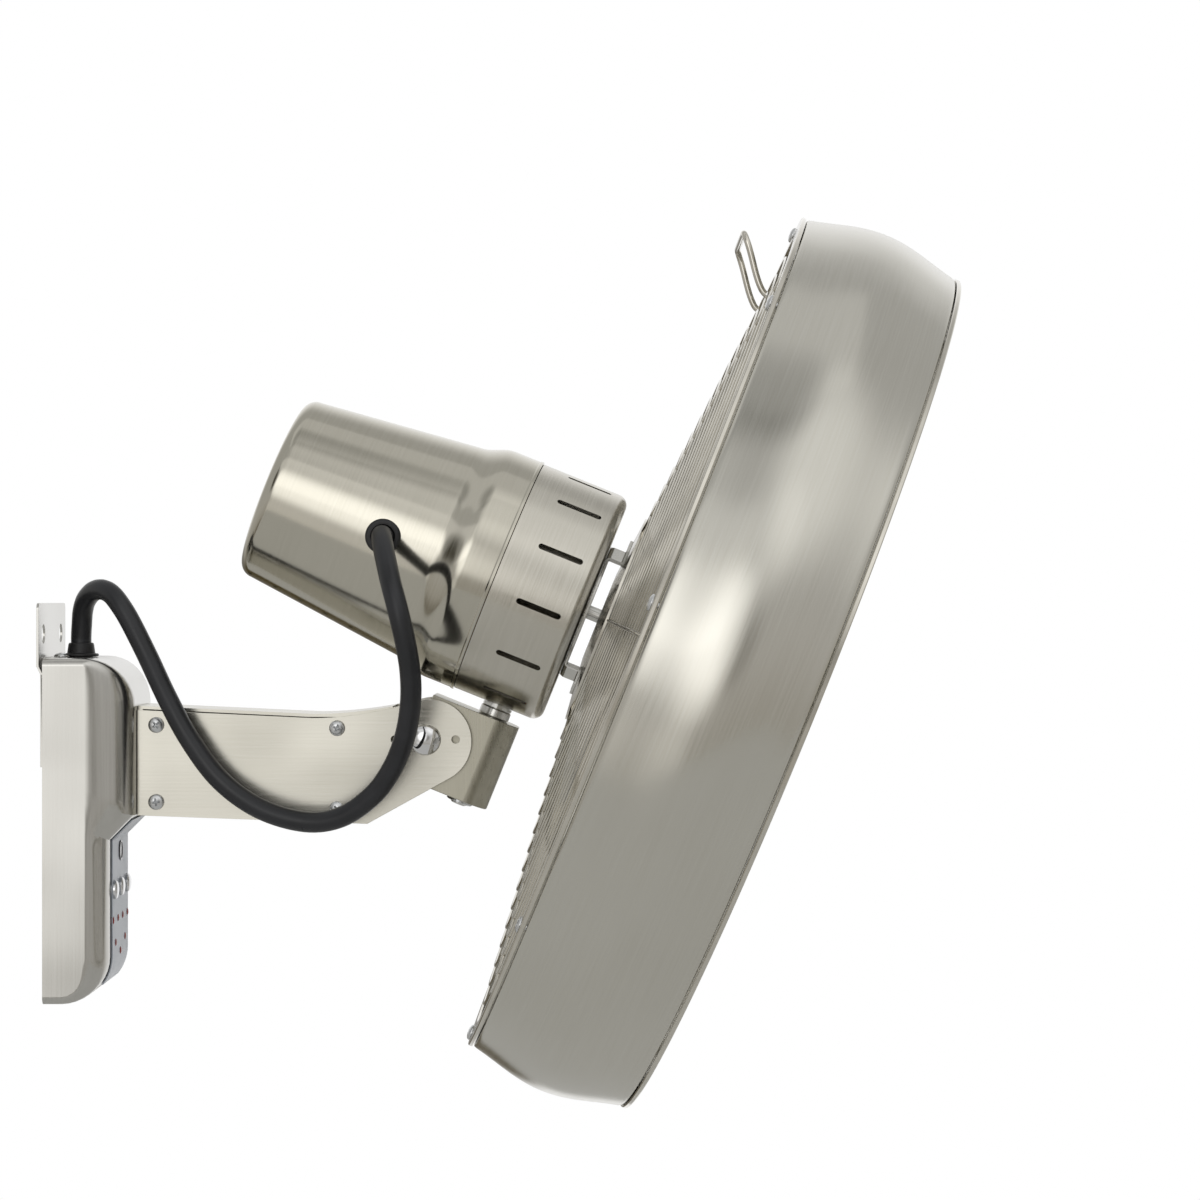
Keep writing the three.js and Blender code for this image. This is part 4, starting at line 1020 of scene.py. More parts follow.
@dataclass
class WallPlate:
    """The bracket on the wall, with two screw holes, and the box's back cover."""

    half: float = 51.0
    top: float = 19.5
    bend: float = -20.0
    step: float = 2.5
    sheet: float = 1.5
    bottom: float = -83.0
    hole: float = 6.0
    spacing: float = 66.0
    corner: float = 4.0

    def bracket(self) -> Piece:
        """Bend the bracket and cut its holes and rounded corners.

        Returns:
            The bracket.
        """
        low = self.bend - 2 * self.step
        profile = [
            (0, self.top), (self.sheet, self.top), (self.sheet, self.bend),
            (self.step + self.sheet, low), (self.step + self.sheet, self.bottom),
            (self.step, self.bottom), (self.step, low), (0, self.bend),
        ]
        piece = pressed("wall_plate", profile, -self.half, self.half)
        cutters = [placed(bar(self.hole, -1, 4, 48), shift(0, side * self.spacing / 2, 0))
                   for side in (-1, 1)]
        edge = self.half - self.corner
        outline = (arc((edge, self.top - self.corner), self.corner, 0, 90, 6)
                   + arc((-edge, self.top - self.corner), self.corner, 90, 180, 6)
                   + [(-self.half, self.bottom - 1), (self.half, self.bottom - 1)])
        carved(piece, [pressed("corners", outline, -1, 8, Plane.YZ)], "INTERSECT")
        return softened(carved(piece, cutters), 0.35, 2, 35)

    def build(self, shop: Shop) -> None:
        """Make the bracket and dress the cover behind the box.

        Args:
            shop: Where the pieces are kept.
        """
        shop.keep(self.bracket(), "wall_unit", "box_steel", "wall_bracket")
        shop.dress("box_steel", "back_cover", "inner_frame")


# ------------------------------------------------------------------ control box


@dataclass
class ControlBox:
    """The drawn steel box with its panel, buttons, lamps, window and cord gland."""

    half: float = 55.0
    back: float = 4.3
    top: float = -15.0
    bottom: float = -231.0
    front: float = 59.5
    lower: float = 44.0
    chamfer: float = -114.0
    top_radius: float = 30.0
    bottom_radius: float = 28.0
    corner: float = 21.0
    side_flat: float = 30.5  # how far forward the side stays flat
    edge: float = 5.0
    sheet: float = 1.5
    panel: float = 0.8
    panel_half: float = 33.0
    panel_end: float = -221.0
    buttons: float = -161.6
    button_pitch: float = 26.5
    button_radius: float = 5.75
    button_rise: float = 3.0
    lamp_radius: float = 2.2
    lamp_rise: float = 0.8
    window: Pair = (6.3, -138.6)
    lamps: tuple[tuple[str, tuple[Pair, ...]], ...] = (
        ("row", ((-30.0, -180.8), (-10.0, -180.8), (10.0, -180.8), (30.0, -180.8))),
        ("trio", ((-20.0, -195.5), (0.0, -202.5), (20.0, -195.5))),
    )

    @property
    def face(self) -> float:
        """The front of the overlay on the box's lower face."""
        return self.lower + GAP + self.panel

    def line(self, inset: float, back: float, steps: int = 10) -> list[Pair]:
        """Give the side outline from the top's back edge to the bottom's, drawn in all along.

        Args:
            inset: How far it is drawn in.
            back: Where its back edges lie.
            steps: Steps on each arc.

        Returns:
            The outline.
        """
        front = self.front - inset
        lower = self.lower - inset
        top = self.top - inset
        bottom = self.bottom + inset
        slope = self.chamfer + inset * math.tan(math.pi / 8)
        low_slope = slope - (self.front - self.lower)
        upper_round = self.top_radius - inset
        lower_round = self.bottom_radius - inset
        return [
            (back, top),
            (self.back + 8, top),
            *arc((front - upper_round, top - upper_round), upper_round, 90, 0, steps),
            (front, slope + 8), (front, slope), (lower, low_slope), (lower, low_slope - 8),
            *arc((lower - lower_round, bottom + lower_round), lower_round, 0, -90, steps),
            (back, bottom),
        ]

    def skin(self, name: str, depth: float, back: float) -> Piece:
        """Loft the box, its side edges rounded wide round the front and tight on top and bottom.

        Args:
            name: The object's name.
            depth: How far the skin lies inside the box's outer one.
            back: Where its back lies.

        Returns:
            The closed skin.
        """
        steps = 10
        full = self.line(depth, back, steps)
        last = len(full) - 2
        share = [min(1.0, max(0.0, min(index - 2, last - index) / steps))
                 for index in range(len(full))]
        wide = [part * part * (3 - 2 * part) for part in share]
        radii = [self.edge + (self.corner - self.edge) * part - depth for part in wide]
        drawn = {radius: self.line(depth + radius, back, steps) for radius in set(radii)}

        def loop(angle: float, side: int) -> list[Triple]:
            """Give the loop at an angle round the side edge.

            Args:
                angle: The angle in degrees, 90 on the side and 0 on the front.
                side: -1 or 1, the side of the box.

            Returns:
                The loop's points.
            """
            points = []
            part = 1 - math.cos(math.radians(angle))
            for index, (radius, outer) in enumerate(zip(radii, full)):
                inner = drawn[radius][index]
                if outer[1] > self.chamfer:
                    flat = min(inner[0], self.side_flat)
                else:
                    flat = inner[0] + (self.side_flat - inner[0]) * wide[index]
                x = outer[0] + (flat - outer[0]) * part
                z = outer[1] + (inner[1] - outer[1]) * part
                y = side * (self.half - depth - radius + radius * math.sin(math.radians(angle)))
                points.append((x, y, z))
            return points

        angles = [90, 84, 75, 64, 52, 40, 28, 16, 7, 0]
        loops = [loop(angle, -1) for angle in angles] + [loop(angle, 1) for angle in angles[::-1]]
        return lofted(name, loops)

    def holes(self) -> list[Piece]:
        """Make the cutters for the buttons, lamps and window.

        Returns:
            The cutters.
        """
        places = [(self.button_radius, side * self.button_pitch, self.buttons)
                  for side in (-1, 0, 1)]
        places += [(self.lamp_radius, y, z) for _, row in self.lamps for y, z in row]
        places.append((self.window[0], 0.0, self.window[1]))
        return [placed(bar(radius + GAP, self.lower - 4, self.lower + 4), shift(0, y, z))
                for radius, y, z in places]

    def shell(self) -> Piece:
        """Hollow the box out to its sheet and cut the holes for what stands in it.

        Returns:
            The box, open at the back.
        """
        piece = self.skin("box_shell", 0, self.back)
        hollow = self.skin("hollow", self.sheet, self.back - 1)
        gland_hole = upright(bar(7.9, self.top - 8, self.top + 8, 40), GLAND_X)
        lid_hole = upright(bar(2.3, self.top - 4, self.top + 4, 20), *LID_SCREW)
        return carved(piece, [hollow, *self.holes(), gland_hole, lid_hole])

    def overlay(self) -> Piece:
        """Bend the pale overlay over the box's lower face and cut its button holes.

        Returns:
            The overlay.
        """
        def run(inset: float) -> list[Pair]:
            """Give the outline's stretch from the chamfer's middle to the overlay's end.

            Args:
                inset: How far it is drawn in.

            Returns:
                The stretch's points, from the top down.
            """
            start = self.chamfer - 3
            points = [(x, z) for x, z in self.line(inset, self.back, 14) if z < start]
            slope = self.chamfer + inset * math.tan(math.pi / 8)
            points.insert(0, (self.front - inset - (slope - start), start))
            kept = [point for point in points if point[1] > self.panel_end]
            below = points[len(kept)]
            last = kept[-1]
            part = (last[1] - self.panel_end) / (last[1] - below[1])
            return kept + [(last[0] + (below[0] - last[0]) * part, self.panel_end)]

        outline = run(-GAP - self.panel) + run(-GAP)[::-1]
        piece = pressed("panel_overlay", outline, -self.panel_half, self.panel_half)
        return softened(carved(piece, self.holes()), 0.15, 1, 35)

    def button(self) -> Piece:
        """Turn a domed push button.

        Returns:
            The button, at the middle of the panel.
        """
        collar = self.lower - self.sheet - GAP
        radius = self.button_radius
        top = dome(self.face + self.button_rise, -self.button_rise * 0.62, radius, range(0, 91, 10))
        return spun("button", [*top, (collar, radius), (collar, radius + 1.3),
                               (collar - 1.1, radius + 1.3), (collar - 1.1, 0)], 40, False)

    def lamp(self) -> Piece:
        """Turn a domed lamp.

        Returns:
            The lamp, at the middle of the panel.
        """
        start = self.lower - self.sheet - 1
        radius = self.lamp_radius
        top = dome(self.face + self.lamp_rise, -self.lamp_rise * 0.9, radius, range(0, 91, 15))
        return spun("lamp", [*top, (start, radius), (start, 0)], 20, False)

    def sight(self) -> Piece:
        """Turn the receiver's round window with a raised rim.

        Returns:
            The window.
        """
        radius, height = self.window
        face = self.face
        start = self.lower - self.sheet - 1
        outline = [(face + 0.2, 0), (face + 0.35, radius * 0.7), (face + 0.3, radius - 1.1),
                   (face + 0.75, radius - 0.8), (face + 0.8, radius - 0.3), (face + 0.5, radius),
                   (start, radius), (start, 0)]
        return placed(spun("sight_glass", outline, 48, False), shift(0, 0, height))

    def gland(self) -> Piece:
        """Turn the rubber gland with its lip and collar.

        Returns:
            The gland.
        """
        seat = self.top + GAP
        bore = 4.6
        outline = [
            (self.top - 4.4, bore), (self.top - 4.4, 7.6), (seat, 7.6), (seat, 10.2),
            *[(seat + 1.0 - math.cos(math.radians(a)), 10.2 + math.sin(math.radians(a)))
              for a in range(20, 161, 20)],
            (seat + 2.0, 9.6), (seat + 2.3, 8.9), (seat + 7.4, 8.2), (seat + 8.5, 7.8),
            (seat + 8.8, 7.3), (seat + 8.8, 6.65), (seat + 7.3, 6.65), (seat + 7.3, bore),
        ]
        return upright(spun("cord_gland", outline, 48), GLAND_X)

    def build(self, shop: Shop) -> None:
        """Make the box and everything on it.

        Args:
            shop: Where the pieces are kept.
        """
        shop.keep(self.shell(), "wall_unit", "box_steel", "control_box", 24)
        shop.keep(self.overlay(), "wall_unit", "overlay", "control_panel", 30)
        places = [shift(0, side * self.button_pitch, self.buttons) for side in (-1, 0, 1)]
        shop.keep_copies(self.button(), places, "push_{}", "button_{}", "chrome", "button_{}")
        lamp = self.lamp()
        behind = self.lower - self.sheet - GAP
        for row, places in self.lamps:
            low = min(z for _, z in places) - 3
            high = max(z for _, z in places) + 3
            reach = max(y for y, _ in places) + 3
            outline = [(behind - 2, low), (behind, low), (behind, high), (behind - 2, high)]
            domes = [copied(lamp, "dome", shift(0, y, z)) for y, z in places]
            piece = joined(f"lamp_{row}", [pressed("guide", outline, -reach, reach), *domes])
            shop.keep(piece, "wall_unit", "lamp_lens", f"led_{row}")
        bpy.data.objects.remove(lamp)
        shop.keep(self.sight(), "wall_unit", "smoked_window", "receiver_window")
        shop.keep(self.gland(), "wall_unit", "gland_rubber", "box_gland")
        shop.dress("board_green", "control_board")
        shop.dress("black_plastic", "terminal_block")


# ------------------------------------------------------------------ fasteners


@dataclass(frozen=True)
class Fasteners:
    """Turned screw heads, bolts and nuts."""

    head: float = 5.0
    rise: float = 2.6
    shank: float = 2.0
    reach: float = 9.0
    cross_turn: float = 20.0
    cross_depth: float = 1.7
    cross_mouth: Pair = (3.7, 1.15)  # half the length and width of the recess's arms outside
    cross_floor: Pair = (1.3, 0.06)  # and at its floor

    def pan_screw(self, name: str = "screw") -> Piece:
        """Turn a pan screw along +X, its head behind the plane x = 0, and cut its cross recess.

        Args:
            name: The object's name.

        Returns:
            The screw.
        """
        crown = dome(-self.rise, self.rise * 0.8, self.head, (0, 14, 28, 42, 56, 70, 82, 90))
        outline = [*crown, (-0.15, self.head), (0, self.head - 0.15), (0, self.shank),
                   (self.reach - 1, self.shank), (self.reach, self.shank - 0.7), (self.reach, 0)]
        screw = spun(name, outline, 32, False)
        arms = []
        for angle in (0, 90):
            loops = [[(x, -half, -reach), (x, half, -reach), (x, half, reach), (x, -half, reach)]
                     for x, (reach, half) in ((-self.rise - 1, self.cross_mouth),
                                              (-self.rise + self.cross_depth, self.cross_floor))]
            arms.append(placed(lofted("arm", loops), turn(angle + self.cross_turn, "X")))
        return carved(screw, arms)

    def carriage_bolt(self, name: str, seat: float, end: float) -> Piece:
        """Turn a domed bolt along +X, its head's seat and its shank's end at two places."""
        return spun(name, [*dome(seat - 4.6, 4.6, 10.0, range(0, 86, 10)), (seat - 0.3, 10.0),
                           (seat, 9.8), (seat, 5.0), (end - 1, 5.0), (end, 4.2), (end, 0)],
                    56, False)

    def nut(self, name: str, radius: float, bore: float, start: float, end: float,
            sides: int = 6) -> Piece:
        """Turn a nut along +X with chamfered corners.

        Args:
            name: The object's name.
            radius: Its radius over the corners.
            bore: Its bore's radius.
            start: Its first face.
            end: Its last face.
            sides: Its sides.

        Returns:
            The nut.
        """
        blank = spun(name, [(start, bore), (start, radius), (end, radius), (end, bore)], sides)
        edge = 0.9
        low, high = start + edge * 0.6, end - edge * 0.6
        turned = spun("chamfer", [(start, 0), (start, radius - edge), (low, radius),
                                  (high, radius), (end, radius - edge), (end, 0)], 48, False)
        return carved(blank, [turned], "INTERSECT")


# ------------------------------------------------------------------ arm


@dataclass
class Arm:
    """The folded arm with two ears, its cover plate, screws and the tilt bolt."""

    start: float = 59.8
    half: float = 28.0
    plate: float = 3.0
    web: float = 2.0
    lip: float = 2.5
    top_box: float = -48.0
    top_waist: float = -53.0
    waist: float = 168.0
    bottom_box: float = -114.6
    bottom_heel: float = -120.0
    heel: float = 205.0
    top_end: float = 221.0
    pivot: Pair = (241.6, -66.7)
    ear: float = 26.6
    ear_shift: Pair = (2.7, -1.2)
    ear_hole: float = 2.5
    ear_reach: float = 19.2
    screw_hole: float = 2.3
    screws: tuple[Pair, ...] = ((71.8, -57.5), (71.8, -106.1), (186.0, -59.5), (186.0, -110.5))
    fasteners: Fasteners = Fasteners()

    def outline(self, lift: float) -> list[Pair]:
        """Give the arm's side outline.

        Args:
            lift: How far the top stands over the plate's.

        Returns:
            The outline.
        """
        ear = (self.pivot[0] + self.ear_shift[0], self.pivot[1] + self.ear_shift[1])
        round_ear = arc(ear, self.ear, -62, 112, 40)
        middle = ((self.waist + self.top_end) / 2, self.top_waist + lift - 1)
        end = (self.waist, self.top_waist + lift)
        curve = []
        for step in range(1, 13):
            t = step / 12
            curve.append(tuple((1 - t) ** 2 * a + 2 * t * (1 - t) * b + t * t * c
                               for a, b, c in zip(round_ear[-1], middle, end)))
        return [(self.start, self.bottom_box), (self.heel, self.bottom_heel), *round_ear, *curve,
                (self.start, self.top_box + lift)]

    def bore(self, radius: float, place: Pair) -> Piece:
        """Make a cutter right through both ears along Y."""
        return sideways(bar(radius, -40, 40), place[0], 0, place[1])

    def ear_bores(self) -> list[Piece]:
        """Make the cutters for the bolt's hole and the two small holes of the ears."""
        x, z = self.pivot
        return [self.bore(BOLT_BORE, (x, z)), self.bore(self.ear_hole, (x - self.ear_reach, z)),
                self.bore(self.ear_hole, (x + self.ear_reach, z))]

    def cover(self) -> Piece:
        """Press the near plate and cut its holes.

        Returns:
            The plate.
        """
        piece = pressed("arm_plate", self.outline(0), -self.half, -self.half + self.plate)
        holes = [self.bore(self.screw_hole, place) for place in self.screws]
        return softened(carved(piece, self.ear_bores() + holes), 0.45, 3)

    def channel(self) -> Piece:
        """Fold the channel: far plate and ear, top and bottom webs and the end on the box.

        Returns:
            The channel.
        """
        near = -self.half + self.plate + GAP
        piece = pressed("arm_fold", self.outline(self.lip), near, self.half)
        end = self.start + self.plate
        ceiling = self.top_waist + self.lip - self.web
        room = [
            (end, self.bottom_box + self.web), (self.heel, self.bottom_heel + self.web),
            (self.heel + 90, self.bottom_heel + self.web), (self.heel + 90, ceiling),
            (self.waist, ceiling), (end, self.top_box + self.lip - self.web),
        ]
        ear_room = [(self.top_end, -200), (500, -200), (500, 100), (self.top_end, 100)]
        heel_room = [(self.heel - 1, -200), (500, -200), (500, self.pivot[1]),
                     (self.heel - 1, self.pivot[1])]
        cutters = [pressed("room", shape, near - 1, self.half - self.plate)
                   for shape in (room, ear_room, heel_room)]
        return softened(carved(piece, cutters + self.ear_bores()), 0.6, 3)

    def build(self, shop: Shop) -> None:
        """Make the arm and its fasteners.

        Args:
            shop: Where the pieces are kept.
        """
        shop.keep(self.channel(), "wall_unit", "arm_steel", "arm_channel", 40)
        shop.keep(self.cover(), "wall_unit", "arm_steel", "arm_cover", 40)
        seat = -self.half - GAP
        places = [shift(x, seat, z) @ turn(90, "Z") @ turn(31 * index, "X")
                  for index, (x, z) in enumerate(self.screws, 1)]
        shop.keep_copies(self.fasteners.pan_screw(), places, "plate_screw_{}", "wall_unit", "zinc",
                         "arm_screw_{}")
        stub = Fasteners(reach=1.2).pan_screw("lid_screw")
        shop.keep(placed(stub, shift(*LID_SCREW, -14.7) @ turn(90, "Y")), "wall_unit", "zinc")
        low = upright(self.fasteners.pan_screw("cover_screw"), 10.3, 0, -231.3)
        shop.keep(low, "wall_unit", "zinc", "back_cover_screw")
        x, z = self.pivot
        bolt = self.fasteners.carriage_bolt("pivot_bolt", seat, self.half + 10.8)
        shop.keep(sideways(bolt, x, 0, z), "wall_unit", "chrome", "tilt_bolt")
        nut = self.fasteners.nut("pivot_nut", 9.8, BOLT_BORE, self.half + GAP, self.half + GAP + 8)
        shop.keep(sideways(nut, x, 0, z), "wall_unit", "zinc", "tilt_nut")
        shop.dress("black_plastic", "washer_near", "washer_far")


# ------------------------------------------------------------------ knuckle


@dataclass
class Knuckle:
    """The bent bracket that tilts between the ears, with the upright swivel pin."""

    half_height: float = 28.0
    half_width: float = 23.0
    front: float = 52.0
    rear: float = -6.0
    lobe: float = 15.0
    radius: float = 16.0
    sheet: float = 2.5
    tail: float = 17.0  # how far the blank reaches behind the bolt
    pin_radius: float = 5.5
    pin_top: float = 52.1
    nut_rise: float = 2.4
    fasteners: Fasteners = Fasteners()

    def plan(self, inset: float, back: float) -> list[Pair]:
        """Give the plan with its rounded front corners.

        Args:
            inset: How far it is drawn in.
            back: Where it starts.

        Returns:
            The outline in the plane across the pin.
        """
        half = self.half_width - inset
        radius = self.radius - inset
        middle = self.front - inset - radius
        return [(back, -half), *arc((middle, -half + radius), radius, -90, 0, 10),
                *arc((middle, half - radius), radius, 0, 90, 10), (back, half)]

    def bracket(self, pin: float) -> Piece:
        """Bend the bracket.

        Args:
            pin: The swivel pin's place along the bracket.

        Returns:
            The bracket in its own frame.
        """
        high = self.half_height
        piece = pressed("bent_bracket", self.plan(0, -self.tail), -high, high, Plane.XY)
        inner = pressed("inner", self.plan(self.sheet, -self.tail - 1), -high + self.sheet,
                        high - self.sheet, Plane.XY)
        side = [(self.front + 2, -high - 1), (self.front + 2, high + 1), (self.rear, high + 1),
                (self.rear, self.lobe), *arc((0, 0), self.lobe, 114, 246, 20),
                (self.rear, -high - 1)]
        trim = pressed("trim", side, -40, 40)
        carved(piece, [inner])
        carved(piece, [trim], "INTERSECT")
        bores = [sideways(bar(BOLT_BORE, -40, 40)), upright(bar(PIN_BORE, -40, 40), pin)]
        return softened(carved(piece, bores), 0.5, 3)

    def build(self, shop: Shop) -> None:
        """Make the bracket, pin and nut.

        Args:
            shop: Where the pieces are kept.
        """
        piece = placed(self.bracket(shop.pin), shop.tilt)
        shop.keep(piece, "tilt_bracket", "knuckle_steel_and_shade", "knuckle", 35)
        standing = shop.tilt @ shift(shop.pin, 0, 0) @ turn(-90, "Y")
        low = -self.half_height - GAP
        foot = low - self.nut_rise - 1.2
        collar = self.half_height + GAP
        radius = self.pin_radius
        pin = spun("upright_pin", [
            (foot, 0), (foot, 4.4), (foot + 0.8, radius), (collar, radius), (collar, 9.4),
            (collar + 0.6, 10.0), (collar + 5.0, 10.0), (collar + 5.8, 9.2),
            (collar + 5.8, radius), (self.pin_top, radius), (self.pin_top, 0)], 48, False)
        shop.keep(placed(pin, standing), "tilt_bracket", "pin_steel", "swivel_pin")
        nut = self.fasteners.nut("pin_ring", 8.5, PIN_BORE, low - self.nut_rise, low, 32)
        shop.keep(placed(nut, standing), "tilt_bracket", "zinc", "swivel_nut")


# ------------------------------------------------------------------ motor


@dataclass
class MotorPod:
    """The spun rear cup and the slotted front ring of the motor."""

    rear: float = -151.6
    rear_radius: float = 60.0
    rear_round: float = 8.5
    taper: float = 0.1095
    flare: Pair = (-38.0, -16.0)
    flare_radius: float = 77.5
    seam: float = 3.6
    sheet: float = 1.5
    ring: float = 76.8
    ring_front: float = 62.9
    ring_round: float = 7.0
    slots: int = 13
    slot: Triple = (21.5, 29.5, 3.8)  # where it starts, its length and its width
    slot_phase: float = 14.0
    pin_slot: int = 6  # the place over the swivel pin, which has no slot
    guard: Pair = (44.0, 20.0)  # radius and rear end of the collar inside
    boss: Triple = (8.0, 16.3, 19.5)  # radii of the shaft's hole, the bearing's seat and the boss
    boss_rear: float = 47.0
    boss_seat: float = 58.3
    cord_hole: float = 9.1
    pin_hole: float = 8.1
    drains: int = 5
    drain_radius: float = 1.5
    drain_start: float = -143.0
    drain_pitch: float = 18.0
    drain_angle: float = 164.0
    grommet_x: float = -70.0
    grommet_drop: float = 4.0

    def cup_radius(self, x: float) -> float:
        """Give the cup's outer radius at a place along the axis.

        Args:
            x: The place.

        Returns:
            The radius.
        """
        first, last = self.flare
        cone = self.rear_radius + (min(x, first) - self.rear - self.rear_round) * self.taper
        if x <= first:
            return cone
        share = min(1.0, (x - first) / (last - first))
        return cone + (self.flare_radius - cone) * (1 - math.cos(math.pi * share)) / 2

    def cup_line(self, inset: float) -> list[Pair]:
        """Give the cup's outline from the rear face to its mouth.

        Args:
            inset: How far it is drawn in.

        Returns:
            The outline.
        """
        middle = (self.rear + self.rear_round, self.rear_radius - self.rear_round)
        rounded = arc(middle, self.rear_round - inset, 180, 90, 10)
        first, last = self.flare
        bend = [first + (last - first) * step / 14 for step in range(15)]
        body = [(x, self.cup_radius(x) - inset) for x in [-130, -105, -80, -58, *bend, -8]]
        lip = self.flare_radius - inset
        return [*rounded, *body, (self.seam - 2.4, lip), (self.seam - 1.6, lip + 0.5),
                (self.seam, lip + 0.5)]

    def across(self) -> Matrix:
        """Give the way from the axis out to the grommet's hole on the near side."""
        return shift(self.grommet_x, 0, -self.grommet_drop) @ turn(-90, "Z")

    def cup(self) -> Piece:
        """Spin the cup and drill its drain holes and cord hole.

        Returns:
            The cup in the head's frame.
        """
        outline = [(self.rear, 0), *self.cup_line(0), *self.cup_line(self.sheet)[::-1],
                   (self.rear + self.sheet, 0)]
        cutters = []
        for index in range(self.drains):
            place = shift(self.drain_start + index * self.drain_pitch)
            cutters.append(placed(bar(self.drain_radius, 40, 90, 16),
                                  place @ turn(self.drain_angle, "X") @ turn(-90, "Y")))
        cutters.append(placed(bar(self.cord_hole, 55, 85, 40), self.across()))
        return carved(spun("motor_cup", outline, 128, False), cutters)

    def shoulder(self, inset: float) -> list[Pair]:
        """Give the ring's rounded front edge, drawn in by inset."""
        middle = (self.ring_front - self.ring_round, self.ring - self.ring_round)
        return arc(middle, self.ring_round - inset, 90, 0, 9)

    def slotted_ring(self, pin: float, rise: float) -> Piece:
        """Spin the front ring and cut its slots.

        Args:
            pin: The swivel pin's place along the axis.
            rise: The axis's height over the tilt bolt.

        Returns:
            The ring in the head's frame.
        """
        plate = self.ring_front - self.sheet
        back = self.seam + GAP + 0.2
        guard, guard_end = self.guard
        hole, seat, boss = self.boss
        outline = [
            (back, self.ring), (back + 2, self.ring), *self.shoulder(0), (self.ring_front, 30),
            (self.ring_front, hole), (self.boss_seat, hole), (self.boss_seat, seat),
            (self.boss_rear, seat), (self.boss_rear, boss), (plate, boss),
            (plate, guard - self.sheet), (guard_end, guard - self.sheet), (guard_end, guard),
            (plate, guard), *self.shoulder(self.sheet)[::-1], (back, self.ring - self.sheet),
        ]
        start, length, width = self.slot
        reach = (length - width) / 2
        middle = start + length / 2
        shape = (arc((middle + reach, 0), width / 2, -90, 90, 8)
                 + arc((middle - reach, 0), width / 2, 90, 270, 8))
        cutters = [placed(pressed("slot", shape, 66, 84, Plane.XY),
                          turn(self.slot_phase + index * 360 / self.slots, "X"))
                   for index in range(self.slots) if index != self.pin_slot]
        cutters.append(upright(bar(self.pin_hole, -rise + 22, -rise + 44), pin))
        return carved(spun("motor_ring", outline, 120), cutters)

    def grommet(self) -> Piece:
        """Turn the rubber grommet where the cord goes in.

        Returns:
            The grommet in the head's frame.
        """
        reach = self.cup_radius(self.grommet_x)
        seat = self.cup_radius(self.grommet_x + 11) + GAP
        outline = [
            (reach - 5, 4.6), (reach - 5, 8.8), (seat, 8.8), (seat, 10.6), (seat + 0.5, 11),
            (seat + 1.2, 10.8), (seat + 1.8, 10.0), (seat + 2, 9.2), (seat + 1.9, 7.6),
            (seat + 0.4, 6.9), (seat - 1.5, 6.6), (seat - 1.5, 4.6),
        ]
        return placed(spun("cord_grommet", outline, 56), self.across())

    def build(self, shop: Shop) -> None:
        """Make the pod's visible pieces and dress the ones inside it.

        Args:
            shop: Where the pieces are kept.
        """
        for piece, finish, node, smooth in (
                (self.cup(), "cup_steel", "rear_housing", 30),
                (self.slotted_ring(shop.pin, shop.rise), "ring_steel", "front_housing", 30),
                (self.grommet(), "gland_rubber", "motor_grommet", 40)):
            shop.keep(placed(piece, shop.head), "head", finish, node, smooth)
        shop.dress("pin_steel", "swivel_bush")
        shop.dress("black_plastic", "swing_motor", "run_capacitor")
        shop.dress("cast_aluminium", "end_shield")
        shop.dress("core_laminations", "stator_core", "rotor_core")
        shop.dress("copper_wire", "winding_rear", "winding_front")
        shop.dress("zinc", "front_bearing", "rear_bearing")


# ------------------------------------------------------------------ cage


